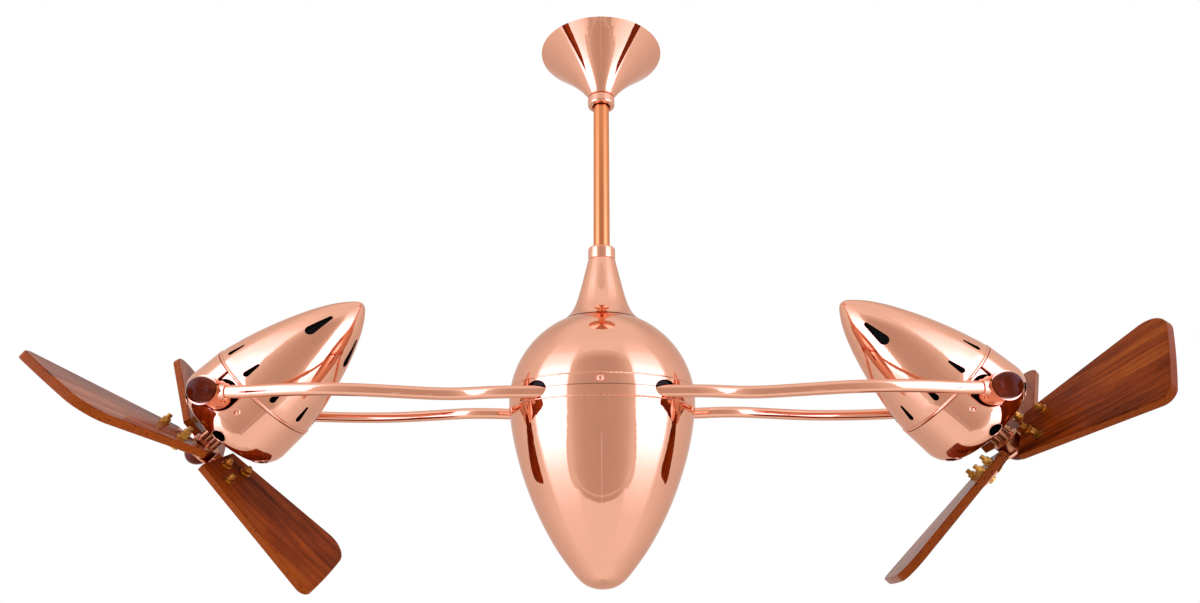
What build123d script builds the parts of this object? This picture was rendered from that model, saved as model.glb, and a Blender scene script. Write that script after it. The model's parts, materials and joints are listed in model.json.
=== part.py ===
from build123d import *
import math
import os

# Twin head ceiling fan. A trumpet canopy and a downrod carry a carousel: a dome and a bullet shell
# round a frame that turns freely on two bearings. Four bowed tubes reach from the frame to two fan
# heads, which tilt between them, and each head spins a rotor of three wooden blades.
#
# Frame: origin on the ceiling at the stem's centre line, +Z up, X along the arms, front at -Y.
# Lengths are millimetres and angles degrees. Heights named *_RISE and *_DROP are measured from the
# seam between dome and bullet. A head is built round its pivot, its own +Z towards the blades and
# its own Y along the pivot, and is then tilted into place.

# ---- Fits and gaps ----
TURN_FIT = 0.05        # radial clearance of a turning fit
PLUG_FIT = 0.1         # clearance of pieces that plug or bolt together
RUN_GAP = 0.4          # gap between faces that pass each other

# ---- Sheet metal ----
SHEET = 1.2            # spun copper sheet
CURVE_SPANS = 12       # spline spans of a spun curve
CURVE_TRACE = 1000     # steps used to space them

# ---- Stem ----
SEAM_DEPTH = 438.0     # ceiling to the seam of the carousel
ROD_R = 9.525          # 3/4 inch tube
ROD_WALL = 2.1
ROD_TOP_DEPTH = 12.0
BALL_R = 17.0
BALL_DEPTH = 30.0
BALL_FLAT = 0.72       # share of the ball's radius left at each end
PIN_R = 3.0
PIN_REACH = 0.85       # share of the ball's radius
BRACKET_LENGTH = 106.0
BRACKET_WIDTH = 36.0
BRACKET_SHEET = 2.5
BRACKET_SLOT_SPACING = 88.9   # 3 1/2 inch outlet box
BRACKET_SLOT_R = 2.6
BRACKET_SLOT_LENGTH = 11.0
STRAP_WIDTH = 18.0
SEAT_HEIGHT = 12.0
CANOPY_R = 75.0
CANOPY_NECK_R = 16.0
CANOPY_HEIGHT = 61.0
CANOPY_POWER = 1.3
CANOPY_COLLAR_R = 16.4
CANOPY_COLLAR_HEIGHT = 13.0
CANOPY_COLLAR_GAP = 1.8
NECK_COLLAR_R = 15.6
NECK_COLLAR_HEIGHT = 16.0
COLLAR_ROUND = 3.0
SET_SCREW_R = 2.0
CONE_TOP_R = 15.8
CONE_BASE_R = 44.0
CONE_HEIGHT = 73.2
CONE_SLOPE = 0.24
CONE_POWER = 7

# ---- Spindle, bearings and slip ring ----
SOCKET_R = 14.0
SOCKET_HEIGHT = 30.0
SOCKET_DEPTH = 22.0
SOCKET_RISE = 98.0
SPINDLE_R = 8.5
SPINDLE_END = 2.0      # thread below the nut
SPINDLE_SHOULDER = 3.0
BEARING_R = 20.0
BEARING_WIDTH = 12.0
BEARING_GROOVE = 1.2
BEARING_LEDGE = 2.0
UPPER_BEARING_RISE = 42.0
LOWER_BEARING_DROP = 22.0
NUT_FLATS = 27.0
NUT_HEIGHT = 9.0
SLIP_RING_R = 13.0
SLIP_RING_HEIGHT = 28.0
SLIP_RING_RISE = 5.0
SLIP_TRACKS = 3
SLIP_GROOVE = 1.0
BRUSH_WIDTH = 9.0
BRUSH_LENGTH = 15.0
BRUSH_MARGIN = 1.0

# ---- Carousel shells ----
DOME_R = 100.5
DOME_CENTRE_DROP = 2.8
DOME_MOUTH_R = 30.0
BULLET_LENGTH = 191.6
BULLET_BEYOND = 6.7     # how far below its tip the tapering body would end without its nose
BULLET_POWER = 1.63
BULLET_ROOT = 0.700
BULLET_NOSE_R = 43.5
BULLET_BLEND = 8
LIP_HEIGHT = 9.5       # the bullet's lip inside the dome
BEAD_R = 0.8
BEAD_RISE = 11.0
ARM_HOLE_R = 9.0
ARM_HOLE_DROP = 1.0
SHELL_SCREWS = 4
SHELL_SCREW_RISE = 5.5
SHELL_SCREW_R = 2.0
SHELL_SCREW_LENGTH = 7.0
SHELL_SCREW_HEAD_R = 3.6
SHELL_SCREW_HEAD_HEIGHT = 2.2

# ---- Carousel frame ----
BARREL_WALL = 6.0
FRAME_PLATE = 6.0
FRAME_RIM_WALL = 4.0
FRAME_WINDOW_R = 18.0
CLAMP_LENGTH = 20.0
CLAMP_WIDTH = 24.0
CLAMP_WALL = 5.0
CLAMP_SCREW_R = 1.6
CLAMP_SCREW_HEAD_R = 2.6
CLAMP_SCREW_HEAD_HEIGHT = 2.0

# ---- Arms ----
ARM_R = 6.35           # 1/2 inch tube
ARM_WALL = 1.2
ARM_DROP = 3.5
ARM_START_X = 14.0
ARM_SHELL_SHARE = 0.7562      # where the arm leaves the shells, as a share of their radius
ARM_BEND_X = (104.0, 150.0, 270.0, 350.0)
ARM_WAIST_Y = 63.0
ARM_BOW_Y = 105.0
ARM_END_Y = 86.0
ARM_BEND_R = (120.0, 80.0, 180.0, 60.0)

# ---- Pivots ----
PIVOT_X = 386.0
BOSS_R = 14.5
BOSS_INNER_Y = 53.0
BOSS_OUTER_Y = 96.5
BOSS_RIM_WALL = 1.5
BOSS_RECESS = 1.8
BOSS_SPIGOT_R = 7.9
BOSS_SPIGOT_LENGTH = 4.5
ARM_SOCKET_DEPTH = 5.0
CAP_SKIRT = 4.0
PIVOT_BOLT_R = 4.0
PIVOT_BOLT_HEAD_R = 6.8
PIVOT_BOLT_HEAD_HEIGHT = 5.0
PIVOT_BOLT_GRIP = 10.0

# ---- Fan heads ----
TILT = {"left": 45.5, "right": 44.0}
COWL_R = 61.9
COWL_LENGTH = 139.2
COWL_SHOULDER = 22.8   # pivot to the cowl's widest edge
COWL_POWER = 1.25
COWL_ROOT = 0.64
RING_SLOTS = 10
RING_SLOT_WIDE = 3.2
RING_SLOT_NARROW = 1.6
RING_SLOT_START = 32.0
RING_SLOT_END = 45.2
NOSE_SLOTS = 4
NOSE_SLOT_WIDE = 5.5
NOSE_SLOT_NARROW = 2.2
NOSE_SLOT_START = 105.0
NOSE_SLOT_END = 128.0
NOSE_CLOCK = {"left": 0.0, "right": -26.0}
TRIM_RING_R = 1.6
TRIM_RING_PROUD = 1.3
CUP_REAR_R = 63.2
CUP_WAIST_R = 64.6
CUP_WAIST = 13.2
CUP_SHOULDER_R = 22.9
CUP_MOUTH_R = 8.0
KEYHOLE_R = 16.2
KEYHOLE_SETBACK = 1.2
SKIRT_HOLE_R = 18.0
SKIRT_TOP = 6.0
RIM_HOLES = 6
RIM_HOLE_R = 7.3
RIM_HOLE_ANGLE = 43.5
RIM_HOLE_DEPTH = 6.0
RIM_HOLE_CLOCK = {"left": 3.0, "right": -6.5}
CUP_SCREW_ANGLE = 22.8
CUP_SCREW_SETBACK = 1.0
CUP_SCREW_R = 2.0
CUP_SCREW_LENGTH = 9.0
CUP_SCREW_HEAD_R = 3.4
CUP_SCREW_HEAD_HEIGHT = 1.8

# ---- Motor ----
MOTOR_R = 34.0
MOTOR_REAR = 46.0
MOTOR_FRONT = 16.0
MOTOR_FLANGE = 3.0
MOTOR_FLANGE_R = 40.0
MOTOR_NOSE_R = 12.0
MOTOR_NOSE = 10.0
FRAME_RING_R = 44.0
FRAME_RING_HALF = 9.0
LUG_WIDTH = 10.0
LUG_HEIGHT = 10.0
PAD_WIDTH = 20.0
SHAFT_R = 4.0

# ---- Rotors ----
BLADES = 3
BLADE_CLOCK = {"left": 48.5, "right": 6.0}
BLADE_PLANE = 63.5     # pivot to the blades' mid plane
BLADE_PITCH = 12.0
BLADE_THICK = 8.0
BLADE_EDGE_ROUND = 1.5
BLADE_ROOT_R = 20.0
BLADE_ROOT_WIDTH = 60.0
BLADE_TIP_R = 193.5
BLADE_LEAD_WIDTH = 54.0
BLADE_TRAIL_WIDTH = 64.0
BLADE_TIP_SLANT = 7.0
BLADE_TIP_BULGE = 2.0
BLADE_LEAD_ROUND = 12.0
BLADE_TRAIL_ROUND = 26.0
HUB_REAR = 36.7
HUB_FRONT = 57.0
HUB_LOBES = 3
HUB_LOBE_R = 5.6
HUB_LOBE_CENTRE_R = 6.3
HUB_TURN = 33.0        # from a blade to the next lobe
FLANGE_R = 15.0
IRON_DISC_R = 19.0
IRON_THICK = 2.5
IRON_ROOT_HALF = 9.0
IRON_HALF = 25.0
IRON_MARGIN = 8.0
BOLT_PLACES = ((31.0, 0.0), (48.0, 17.0), (48.0, -17.0))
BOLT_R = 2.5
BOLT_HEAD_R = 4.6
BOLT_HEAD_HEIGHT = 2.6
BOLT_TAIL = 4.5        # thread beyond the nut
WASHER_R = 5.8
WASHER_THICK = 1.0
HEX_FLATS = 8.0
HEX_HEIGHT = 4.0
END_CAP_R = 13.2
END_CAP_BORE = 5.0

# ---- Heights worked out from the sizes above ----
SEAM_Z = -SEAM_DEPTH
DOME_Z = SEAM_Z - DOME_CENTRE_DROP
ARM_Z = SEAM_Z - ARM_DROP
ARM_SHELL_Y = ARM_SHELL_SHARE * DOME_R
CANOPY_BASE_Z = -CANOPY_HEIGHT
BALL_Z = -BALL_DEPTH
CONE_BASE_Z = DOME_Z + math.sqrt(DOME_R ** 2 - CONE_BASE_R ** 2) + RUN_GAP
CONE_TOP_Z = CONE_BASE_Z + CONE_HEIGHT
SOCKET_Z = SEAM_Z + SOCKET_RISE
ROD_END_Z = SOCKET_Z + SOCKET_HEIGHT - SOCKET_DEPTH
ROD_TOP_Z = -ROD_TOP_DEPTH
UPPER_BEARING_Z = SEAM_Z + UPPER_BEARING_RISE
LOWER_BEARING_Z = SEAM_Z - LOWER_BEARING_DROP
BARREL_R = BEARING_R + BARREL_WALL
BARREL_TOP_Z = UPPER_BEARING_Z + BEARING_WIDTH
NUT_Z = LOWER_BEARING_Z - RUN_GAP - NUT_HEIGHT
RIM_R = math.sqrt((DOME_R - SHEET) ** 2 - (LIP_HEIGHT + DOME_CENTRE_DROP) ** 2) - SHEET - 2 * PLUG_FIT
PLATE_Z = ARM_Z - ARM_R - CLAMP_WALL - FRAME_PLATE
ARM_END_X = PIVOT_X - BOSS_R + ARM_SOCKET_DEPTH
CLAMP_X = ARM_START_X + CLAMP_LENGTH / 2
SKIRT_R = CUP_REAR_R - SHEET - 3 * PLUG_FIT
CUP_REAR = COWL_SHOULDER - 2 * TRIM_RING_R
CUP_FRONT = CUP_WAIST + CUP_SHOULDER_R
LUG_R = SKIRT_R - SHEET - PLUG_FIT
PAD_Y = BOSS_INNER_Y - RUN_GAP
IRON_FRONT = BLADE_PLANE + BLADE_THICK / 2 + IRON_THICK


def cylinder(radius, low, high):
    """A cylinder on the Z axis between two heights."""
    return Pos(0, 0, (low + high) / 2) * Cylinder(radius, high - low)


def ring(outer, inner, low, high):
    """A ring on the Z axis between two heights."""
    return cylinder(outer, low, high) - cylinder(inner, low - 1, high + 1)


def sheet(path):
    """A spun sheet shell. The path climbs its outer face, so the sheet grows towards the axis."""
    return revolve(Plane.XZ * make_face(offset(path, SHEET, side=Side.LEFT)), Axis.Z)


def evenly(curve):
    """Points spaced evenly along a curve, which is a function of a share from 0 to 1."""
    trace = [curve(k / CURVE_TRACE) for k in range(CURVE_TRACE + 1)]
    step = sum(math.dist(a, b) for a, b in zip(trace, trace[1:])) / CURVE_SPANS
    points, walked = [trace[0]], 0.0
    for here, ahead in zip(trace, trace[1:]):
        walked += math.dist(here, ahead)
        if walked >= step * len(points) and len(points) < CURVE_SPANS:
            points.append(ahead)
    return points + [trace[-1]]


def smooth(points, ways):
    """A spline through evenly spaced points that leaves and arrives in the given directions."""
    return Spline(*points, tangents=ways, tangent_scalars=(1, 1))


def spun(curve, *ways):
    """A spun sheet shell whose outer face follows a curve of (radius, height) upwards."""
    outer = smooth(evenly(curve), ways)

    def inside(share):
        spot, way = outer @ share, outer % share
        return (spot.X - way.Y * SHEET, spot.Y + way.X * SHEET)

    inner = smooth([inside(k / CURVE_SPANS) for k in range(CURVE_SPANS + 1)], ways)
    ends = [Line(outer @ end, inner @ end).edge() for end in (0, 1)]
    return revolve(Plane.XZ * make_face([outer.edge(), inner.edge()] + ends), Axis.Z)


def along_y(shape):
    """Turns a shape that stands on Z to lie along +Y."""
    return Rot(-90, 0, 0) * shape


def around(count, shape, start=0.0):
    """Copies of a shape round the Z axis."""
    return [Rot(0, 0, start + 360 / count * k) * shape for k in range(count)]


def group(solids):
    """Separate solids kept together in one node."""
    return Compound(children=[part for shape in solids for part in shape.solids()])


def round_head_screw(radius, length, head_r, head_height):
    """A screw on Z: the shank below zero, a domed head with a driver slot above."""
    ball_r = (head_r ** 2 + head_height ** 2) / (2 * head_height)
    head = Pos(0, 0, head_height - ball_r) * Sphere(ball_r) & cylinder(head_r, 0, head_height)
    slot = Pos(0, 0, head_height) * Box(3 * head_r, head_r / 4, head_height)
    return (head - slot) + cylinder(radius, -length, 0)


# ---- Stem -------------------------------------------------------------------------------------

def ceiling_bracket():
    """A slotted strap with two legs down to a ring seat for the hanger ball."""
    plate = Pos(0, 0, -BRACKET_SHEET / 2) * Box(BRACKET_LENGTH, BRACKET_WIDTH, BRACKET_SHEET)
    plate = fillet(plate.edges().filter_by(Axis.Z), BRACKET_WIDTH / 4)
    slot = Pos(0, 0, -2 * BRACKET_SHEET) * extrude(
        SlotOverall(BRACKET_SLOT_LENGTH, 2 * BRACKET_SLOT_R), 4 * BRACKET_SHEET)
    seat_in = BALL_R + PLUG_FIT
    seat_out = seat_in + BRACKET_SHEET
    seat = Pos(0, 0, BALL_Z) * (Sphere(seat_out) - Sphere(seat_in))
    seat &= cylinder(seat_out + 1, BALL_Z - SEAT_HEIGHT, BALL_Z)
    leg = Pos(seat_in + BRACKET_SHEET / 2, 0, BALL_Z / 2) * Box(BRACKET_SHEET, STRAP_WIDTH, BALL_DEPTH)
    bracket = plate + seat + leg + Rot(0, 0, 180) * leg
    for side in (-1, 1):
        bracket -= Pos(side * BRACKET_SLOT_SPACING / 2, 0, 0) * slot
    return bracket - cylinder(ROD_R + 2 * CANOPY_COLLAR_GAP, -BRACKET_SHEET - 1, 1)


def hanger_ball():
    """The ball that carries the rod, flat on top and bottom."""
    ball = Pos(0, 0, BALL_Z) * Sphere(BALL_R)
    ball &= cylinder(BALL_R, BALL_Z - BALL_FLAT * BALL_R, BALL_Z + BALL_FLAT * BALL_R)
    return ball - cylinder(ROD_R + PLUG_FIT, -SEAM_DEPTH, 0) - pin_hole(PLUG_FIT)


def pin_hole(clearance):
    """The cross pin's cylinder, right through ball and rod."""
    return Pos(0, 0, BALL_Z) * along_y(cylinder(PIN_R + clearance, -2 * BALL_R, 2 * BALL_R))


def hanger_pin():
    half = PIN_REACH * BALL_R
    return Pos(0, 0, BALL_Z) * along_y(cylinder(PIN_R, -half, half))


def downrod():
    return ring(ROD_R, ROD_R - ROD_WALL, ROD_END_Z, ROD_TOP_Z) - pin_hole(PLUG_FIT)


def canopy():
    """A trumpet: radius = neck + (rim - neck) h^p, with h the height over the neck from 0 to 1."""
    def curve(share):
        radius = CANOPY_NECK_R + (CANOPY_R - CANOPY_NECK_R) * share ** CANOPY_POWER
        return (radius, CANOPY_BASE_Z + CANOPY_HEIGHT * share)

    rim_way = ((CANOPY_R - CANOPY_NECK_R) * CANOPY_POWER, CANOPY_HEIGHT)
    return spun(curve, (0, 1), rim_way) & cylinder(2 * CANOPY_R, CANOPY_BASE_Z, 0)


def collar(radius, bore, low, height):
    """A turned collar with a rounded outer edge at both ends."""
    blank = cylinder(radius, low, low + height)
    blank = fillet(blank.edges().filter_by(GeomType.CIRCLE), COLLAR_ROUND)
    return blank - cylinder(bore, low - 1, low + height + 1)


def collar_screw(z, radius):
    """A headless screw from the collar's outside at the back to the rod."""
    return Pos(0, ROD_R + PLUG_FIT, z) * along_y(cylinder(SET_SCREW_R, 0, radius - ROD_R - PLUG_FIT))


def screw_hole(z):
    return Pos(0, 0, z) * along_y(cylinder(SET_SCREW_R + PLUG_FIT, 0, 2 * CANOPY_COLLAR_R))


def canopy_collar():
    low = CANOPY_BASE_Z - CANOPY_COLLAR_HEIGHT
    bore = ROD_R + CANOPY_COLLAR_GAP
    return collar(CANOPY_COLLAR_R, bore, low, CANOPY_COLLAR_HEIGHT) - screw_hole(canopy_screw_z())


def neck_collar():
    blank = collar(NECK_COLLAR_R, ROD_R + PLUG_FIT, CONE_TOP_Z, NECK_COLLAR_HEIGHT)
    return blank - screw_hole(neck_screw_z())


def canopy_screw_z():
    return CANOPY_BASE_Z - CANOPY_COLLAR_HEIGHT / 2


def neck_screw_z():
    return CONE_TOP_Z + NECK_COLLAR_HEIGHT / 2


def collar_set_screws():
    return group([collar_screw(canopy_screw_z(), CANOPY_COLLAR_R - 2 * PLUG_FIT),
                  collar_screw(neck_screw_z(), NECK_COLLAR_R - 2 * PLUG_FIT)])


def neck_cone():
    """A cone that flares: radius = top + slope h + flare (h / H)^p, h measured down from the top."""
    flare = CONE_BASE_R - CONE_TOP_R - CONE_SLOPE * CONE_HEIGHT

    def curve(share):
        fall = 1 - share
        radius = CONE_TOP_R + CONE_SLOPE * CONE_HEIGHT * fall + flare * fall ** CONE_POWER
        return (radius, CONE_BASE_Z + CONE_HEIGHT * share)

    base_way = (-CONE_SLOPE * CONE_HEIGHT - flare * CONE_POWER, CONE_HEIGHT)
    shell = spun(curve, base_way, (-CONE_SLOPE, 1)) & cylinder(2 * CONE_BASE_R, SEAM_Z, CONE_TOP_Z)
    roof = ring(CONE_TOP_R - SHEET / 2, ROD_R + PLUG_FIT, CONE_TOP_Z - SHEET, CONE_TOP_Z)
    return shell + roof - Pos(0, 0, DOME_Z) * Sphere(DOME_R + RUN_GAP)


def spindle():
    """The shaft under the rod, with a socket for it and a shoulder over the upper bearing."""
    low = NUT_Z - SPINDLE_END
    shaft = cylinder(SPINDLE_R, low, SOCKET_Z)
    shoulder = cylinder(SPINDLE_R + SPINDLE_SHOULDER, BARREL_TOP_Z + RUN_GAP, SOCKET_Z)
    socket = cylinder(SOCKET_R, SOCKET_Z, SOCKET_Z + SOCKET_HEIGHT)
    bore = cylinder(ROD_R + PLUG_FIT, ROD_END_Z - PLUG_FIT, SOCKET_Z + SOCKET_HEIGHT + 1)
    return shaft + shoulder + socket - bore


def spindle_nut():
    hexagon = extrude(RegularPolygon(NUT_FLATS / 2, 6, major_radius=False), NUT_HEIGHT)
    bore = cylinder(SPINDLE_R + PLUG_FIT, -1, NUT_HEIGHT + 1)
    return Pos(0, 0, NUT_Z) * (hexagon - bore)


def slip_ring():
    """A drum on the spindle, with one groove under each brush."""
    low = SEAM_Z + SLIP_RING_RISE
    drum = ring(SLIP_RING_R, SPINDLE_R + PLUG_FIT, low, low + SLIP_RING_HEIGHT)
    pitch = SLIP_RING_HEIGHT / SLIP_TRACKS
    for track in range(SLIP_TRACKS):
        middle = low + pitch * (track + 0.5)
        drum -= ring(SLIP_RING_R + 1, SLIP_RING_R - SLIP_GROOVE, middle - pitch / 4, middle + pitch / 4)
    return drum


# ---- Carousel ---------------------------------------------------------------------------------

def bearing(low):
    """A ball bearing as one ring, with a groove in each face between its races."""
    bore = SPINDLE_R + TURN_FIT
    outer = BEARING_R - TURN_FIT
    body = ring(outer, bore, low, low + BEARING_WIDTH)
    middle = (outer + bore) / 2
    quarter = (outer - bore) / 4
    groove = ring(middle + quarter, middle - quarter, 0, BEARING_GROOVE)
    return body - Pos(0, 0, low) * groove - Pos(0, 0, low + BEARING_WIDTH - BEARING_GROOVE) * groove


def brush_block():
    y = SLIP_RING_R + RUN_GAP + BRUSH_LENGTH / 2
    z = SEAM_Z + SLIP_RING_RISE + SLIP_RING_HEIGHT / 2
    return Pos(0, y, z) * Box(BRUSH_WIDTH, BRUSH_LENGTH, SLIP_RING_HEIGHT - 2 * BRUSH_MARGIN)


def arm_holes():
    """The four holes where the arms leave the shells, half in the dome and half in the bullet."""
    reach = math.sqrt(DOME_R ** 2 - ARM_SHELL_Y ** 2)
    drill = Pos(reach, ARM_SHELL_Y, SEAM_Z - ARM_HOLE_DROP) * Rot(0, 90, 0) * Cylinder(ARM_HOLE_R, reach)
    half_turn = Rot(0, 0, 180)
    other = Pos(0, -2 * ARM_SHELL_Y, 0) * drill
    return [drill, other, half_turn * drill, half_turn * other]


def shell_screw_place():
    """The place of the front shell screw, its +Z outwards, where its head clears the dome's curve."""
    radius = dome_radius(SHELL_SCREW_RISE - SHELL_SCREW_HEAD_R)
    return Pos(0, 0, SEAM_Z + SHELL_SCREW_RISE) * Rot(90, 0, 0) * Pos(0, 0, radius)


def dome_radius(rise):
    """The dome's outer radius at a height over the seam."""
    return math.sqrt(DOME_R ** 2 - (rise + DOME_CENTRE_DROP) ** 2)


def screw_holes(clearance):
    reach = cylinder(SHELL_SCREW_R + clearance, -SHELL_SCREW_LENGTH - SHEET, SHEET)
    return around(SHELL_SCREWS, shell_screw_place() * reach)


def bead(radius, z):
    """A fine raised line round a shell."""
    return Pos(0, 0, z) * Torus(radius, BEAD_R)


def dome():
    """A spun half ball, open at the top for the spindle and closed below by the bullet."""
    mouth_z = DOME_Z + math.sqrt(DOME_R ** 2 - DOME_MOUTH_R ** 2)
    middle = DOME_Z + DOME_R * math.sin(math.radians(45))
    arc = ThreePointArc((dome_radius(0), SEAM_Z), (DOME_R * math.cos(math.radians(45)), middle),
                        (DOME_MOUTH_R, mouth_z))
    shell = sheet(arc) & cylinder(DOME_R, SEAM_Z, SEAM_Z + DOME_R)
    line = bead(dome_radius(BEAD_RISE), SEAM_Z + BEAD_RISE) - Pos(0, 0, DOME_Z) * Sphere(DOME_R - SHEET / 2)
    shell += line
    for hole in arm_holes() + screw_holes(PLUG_FIT):
        shell -= hole
    return shell


def bullet_radius(share):
    """A tapering body, R (1 - (d / taper)^p)^q at d below the seam, blended into a round nose."""
    drop = BULLET_LENGTH * share
    taper = BULLET_LENGTH + BULLET_BEYOND
    body = dome_radius(0) * (1 - (drop / taper) ** BULLET_POWER) ** BULLET_ROOT
    above = BULLET_LENGTH - drop
    nose = math.sqrt(above * (2 * BULLET_NOSE_R + above))
    return body * nose / (body ** BULLET_BLEND + nose ** BULLET_BLEND) ** (1 / BULLET_BLEND)


def bullet_curve(share):
    """The bullet's outer face from its tip up to the seam."""
    fall = 1 - share ** 2
    return (bullet_radius(fall), SEAM_Z - BULLET_LENGTH * fall)


def bullet():
    """A spun bullet that closes the carousel below, with a lip that plugs into the dome."""
    shell = spun(bullet_curve, (1, 0), (0, 1)) & cylinder(DOME_R, SEAM_Z - 2 * BULLET_LENGTH, SEAM_Z)
    lip_r = RIM_R + SHEET + PLUG_FIT
    step_z = SEAM_Z - 2 * SHEET
    lip = ring(lip_r, lip_r - SHEET, step_z, SEAM_Z + LIP_HEIGHT)
    step = ring(dome_radius(0) - SHEET / 2, lip_r - SHEET, step_z, SEAM_Z - SHEET)
    share = BEAD_RISE / BULLET_LENGTH
    inner = cylinder(bullet_radius(share) - SHEET / 2, SEAM_Z - 2 * BEAD_RISE, SEAM_Z)
    line = bead(bullet_radius(share), SEAM_Z - BEAD_RISE) - inner
    shell += [step, lip, line]
    for hole in arm_holes() + screw_holes(PLUG_FIT):
        shell -= hole
    return shell


def shell_screws():
    screw = round_head_screw(SHELL_SCREW_R, SHELL_SCREW_LENGTH, SHELL_SCREW_HEAD_R, SHELL_SCREW_HEAD_HEIGHT)
    return group(around(SHELL_SCREWS, shell_screw_place() * screw))


def quadrants(shape):
    """A piece at +X +Y, repeated in all four quadrants."""
    other = mirror(shape, Plane.YZ)
    return [shape, other, mirror(shape, Plane.XZ), mirror(other, Plane.XZ)]


def clamp_screw_xy():
    """The two screw places of the clamp at +X +Y, one each side of its arm."""
    reach = (ARM_R + CLAMP_WIDTH / 2) / 2
    return [(CLAMP_X, ARM_SHELL_Y - reach), (CLAMP_X, ARM_SHELL_Y + reach)]


def arm_grip(clearance):
    """The straight of the arm at +X +Y as a plain bar, longer than the clamp on both sides."""
    bar = Rot(0, 90, 0) * cylinder(ARM_R + clearance, ARM_START_X - 2, ARM_BEND_X[0])
    return Pos(0, ARM_SHELL_Y, ARM_Z) * bar


def arm_hub():
    """The cast frame: a barrel for both bearings, a windowed plate, a rim and four arm saddles."""
    barrel = cylinder(BARREL_R, LOWER_BEARING_Z, BARREL_TOP_Z)
    plate = cylinder(RIM_R, PLATE_Z, PLATE_Z + FRAME_PLATE)
    rim = ring(RIM_R, RIM_R - FRAME_RIM_WALL, PLATE_Z, SEAM_Z + LIP_HEIGHT)
    saddle_low = PLATE_Z + FRAME_PLATE
    saddle = Pos(CLAMP_X, ARM_SHELL_Y, (saddle_low + ARM_Z) / 2) * Box(
        CLAMP_LENGTH, CLAMP_WIDTH, ARM_Z - saddle_low)
    body = plate + rim + barrel
    for block in quadrants(saddle & cylinder(RIM_R, PLATE_Z, SEAM_Z)):
        body += block
    window_x = (BARREL_R + RIM_R - FRAME_RIM_WALL) / 2
    window = Pos(window_x, 0, 0) * cylinder(FRAME_WINDOW_R, PLATE_Z - 1, saddle_low + 1)
    for cut in around(4, window):
        body -= cut
    for cut in quadrants(arm_grip(PLUG_FIT)):
        body -= cut
    for x, y in clamp_screw_xy():
        for cut in quadrants(Pos(x, y, 0) * cylinder(CLAMP_SCREW_R + PLUG_FIT, PLATE_Z - 1, SEAM_Z)):
            body -= cut
    body -= cylinder(BEARING_R, LOWER_BEARING_Z - 1, LOWER_BEARING_Z + BEARING_WIDTH)
    body -= cylinder(BEARING_R, UPPER_BEARING_Z, BARREL_TOP_Z + 1)
    body -= cylinder(BEARING_R - BEARING_LEDGE, LOWER_BEARING_Z, BARREL_TOP_Z)
    body -= Pos(0, SLIP_RING_R + BARREL_R / 2, SEAM_Z + SLIP_RING_RISE + SLIP_RING_HEIGHT / 2) * Box(
        BRUSH_WIDTH + 2 * PLUG_FIT, BARREL_R, SLIP_RING_HEIGHT + 2 * (PLUG_FIT - BRUSH_MARGIN))
    for hole in screw_holes(PLUG_FIT):
        body -= hole
    return body


def arm_clamps():
    """Four caps that hold the arms down in their saddles."""
    high = ARM_Z + ARM_R + CLAMP_WALL
    low = ARM_Z + 2 * PLUG_FIT
    cap = Pos(CLAMP_X, ARM_SHELL_Y, (low + high) / 2) * Box(CLAMP_LENGTH - 2, CLAMP_WIDTH, high - low)
    cap &= cylinder(RIM_R - FRAME_RIM_WALL - PLUG_FIT, low, high)
    cap -= arm_grip(PLUG_FIT)
    for x, y in clamp_screw_xy():
        cap -= Pos(x, y, 0) * cylinder(CLAMP_SCREW_R + PLUG_FIT, low - 1, high + 1)
    return group(quadrants(cap))


def clamp_screws():
    top = ARM_Z + ARM_R + CLAMP_WALL
    screw = cylinder(CLAMP_SCREW_R, PLATE_Z + 1, top)
    screw += cylinder(CLAMP_SCREW_HEAD_R, top, top + CLAMP_SCREW_HEAD_HEIGHT)
    return group(part for x, y in clamp_screw_xy() for part in quadrants(Pos(x, y, 0) * screw))


def arm():
    """The bowed tube at +X +Y: straight through the shell, in at the waist, out round the head."""
    route = [(ARM_START_X, ARM_SHELL_Y), (ARM_BEND_X[0], ARM_SHELL_Y), (ARM_BEND_X[1], ARM_WAIST_Y),
             (ARM_BEND_X[2], ARM_BOW_Y), (ARM_BEND_X[3], ARM_END_Y), (ARM_END_X, ARM_END_Y)]
    path = FilletPolyline(*route, radius=list(ARM_BEND_R))
    section = Plane(origin=path @ 0, z_dir=path % 0) * (Circle(ARM_R) - Circle(ARM_R - ARM_WALL))
    return Pos(0, 0, ARM_Z) * sweep(section, path=path)


# ---- Pivots -----------------------------------------------------------------------------------

def pivot_place(side, end):
    """A pivot point on the arms' plane, its +Z pointing out along the pivot at the front or back."""
    return Pos(side * PIVOT_X, 0, ARM_Z) * Rot(90 if end < 0 else -90, 0, 0)


def pivot_boss(side, end):
    """A turned boss: a socket for the arm in its flank, a recess for the cap, a bolt right through."""
    body = cylinder(BOSS_R, BOSS_INNER_Y, BOSS_OUTER_Y)
    body -= cylinder(BOSS_R - BOSS_RIM_WALL, BOSS_OUTER_Y - BOSS_RECESS, BOSS_OUTER_Y + 1)
    body -= cylinder(PIVOT_BOLT_R + PLUG_FIT, 0, BOSS_OUTER_Y)
    body -= cylinder(PIVOT_BOLT_HEAD_R + PLUG_FIT, bolt_seat_y(), BOSS_OUTER_Y)
    spigot = cylinder(BOSS_SPIGOT_R, PIVOT_BOLT_HEAD_R + 2, BOSS_R + BOSS_SPIGOT_LENGTH)
    spigot -= cylinder(ARM_R + PLUG_FIT, PIVOT_X - ARM_END_X, 2 * BOSS_R)
    socket = cylinder(ARM_R + PLUG_FIT, PIVOT_X - ARM_END_X - PLUG_FIT, 2 * BOSS_R)
    lay = Pos(0, 0, ARM_END_Y) * Rot(0, -90 * side, 0)
    body = body - lay * socket + lay * (spigot & cylinder(2 * BOSS_R, BOSS_R - 1, 2 * BOSS_R))
    return pivot_place(side, end) * body


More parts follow.
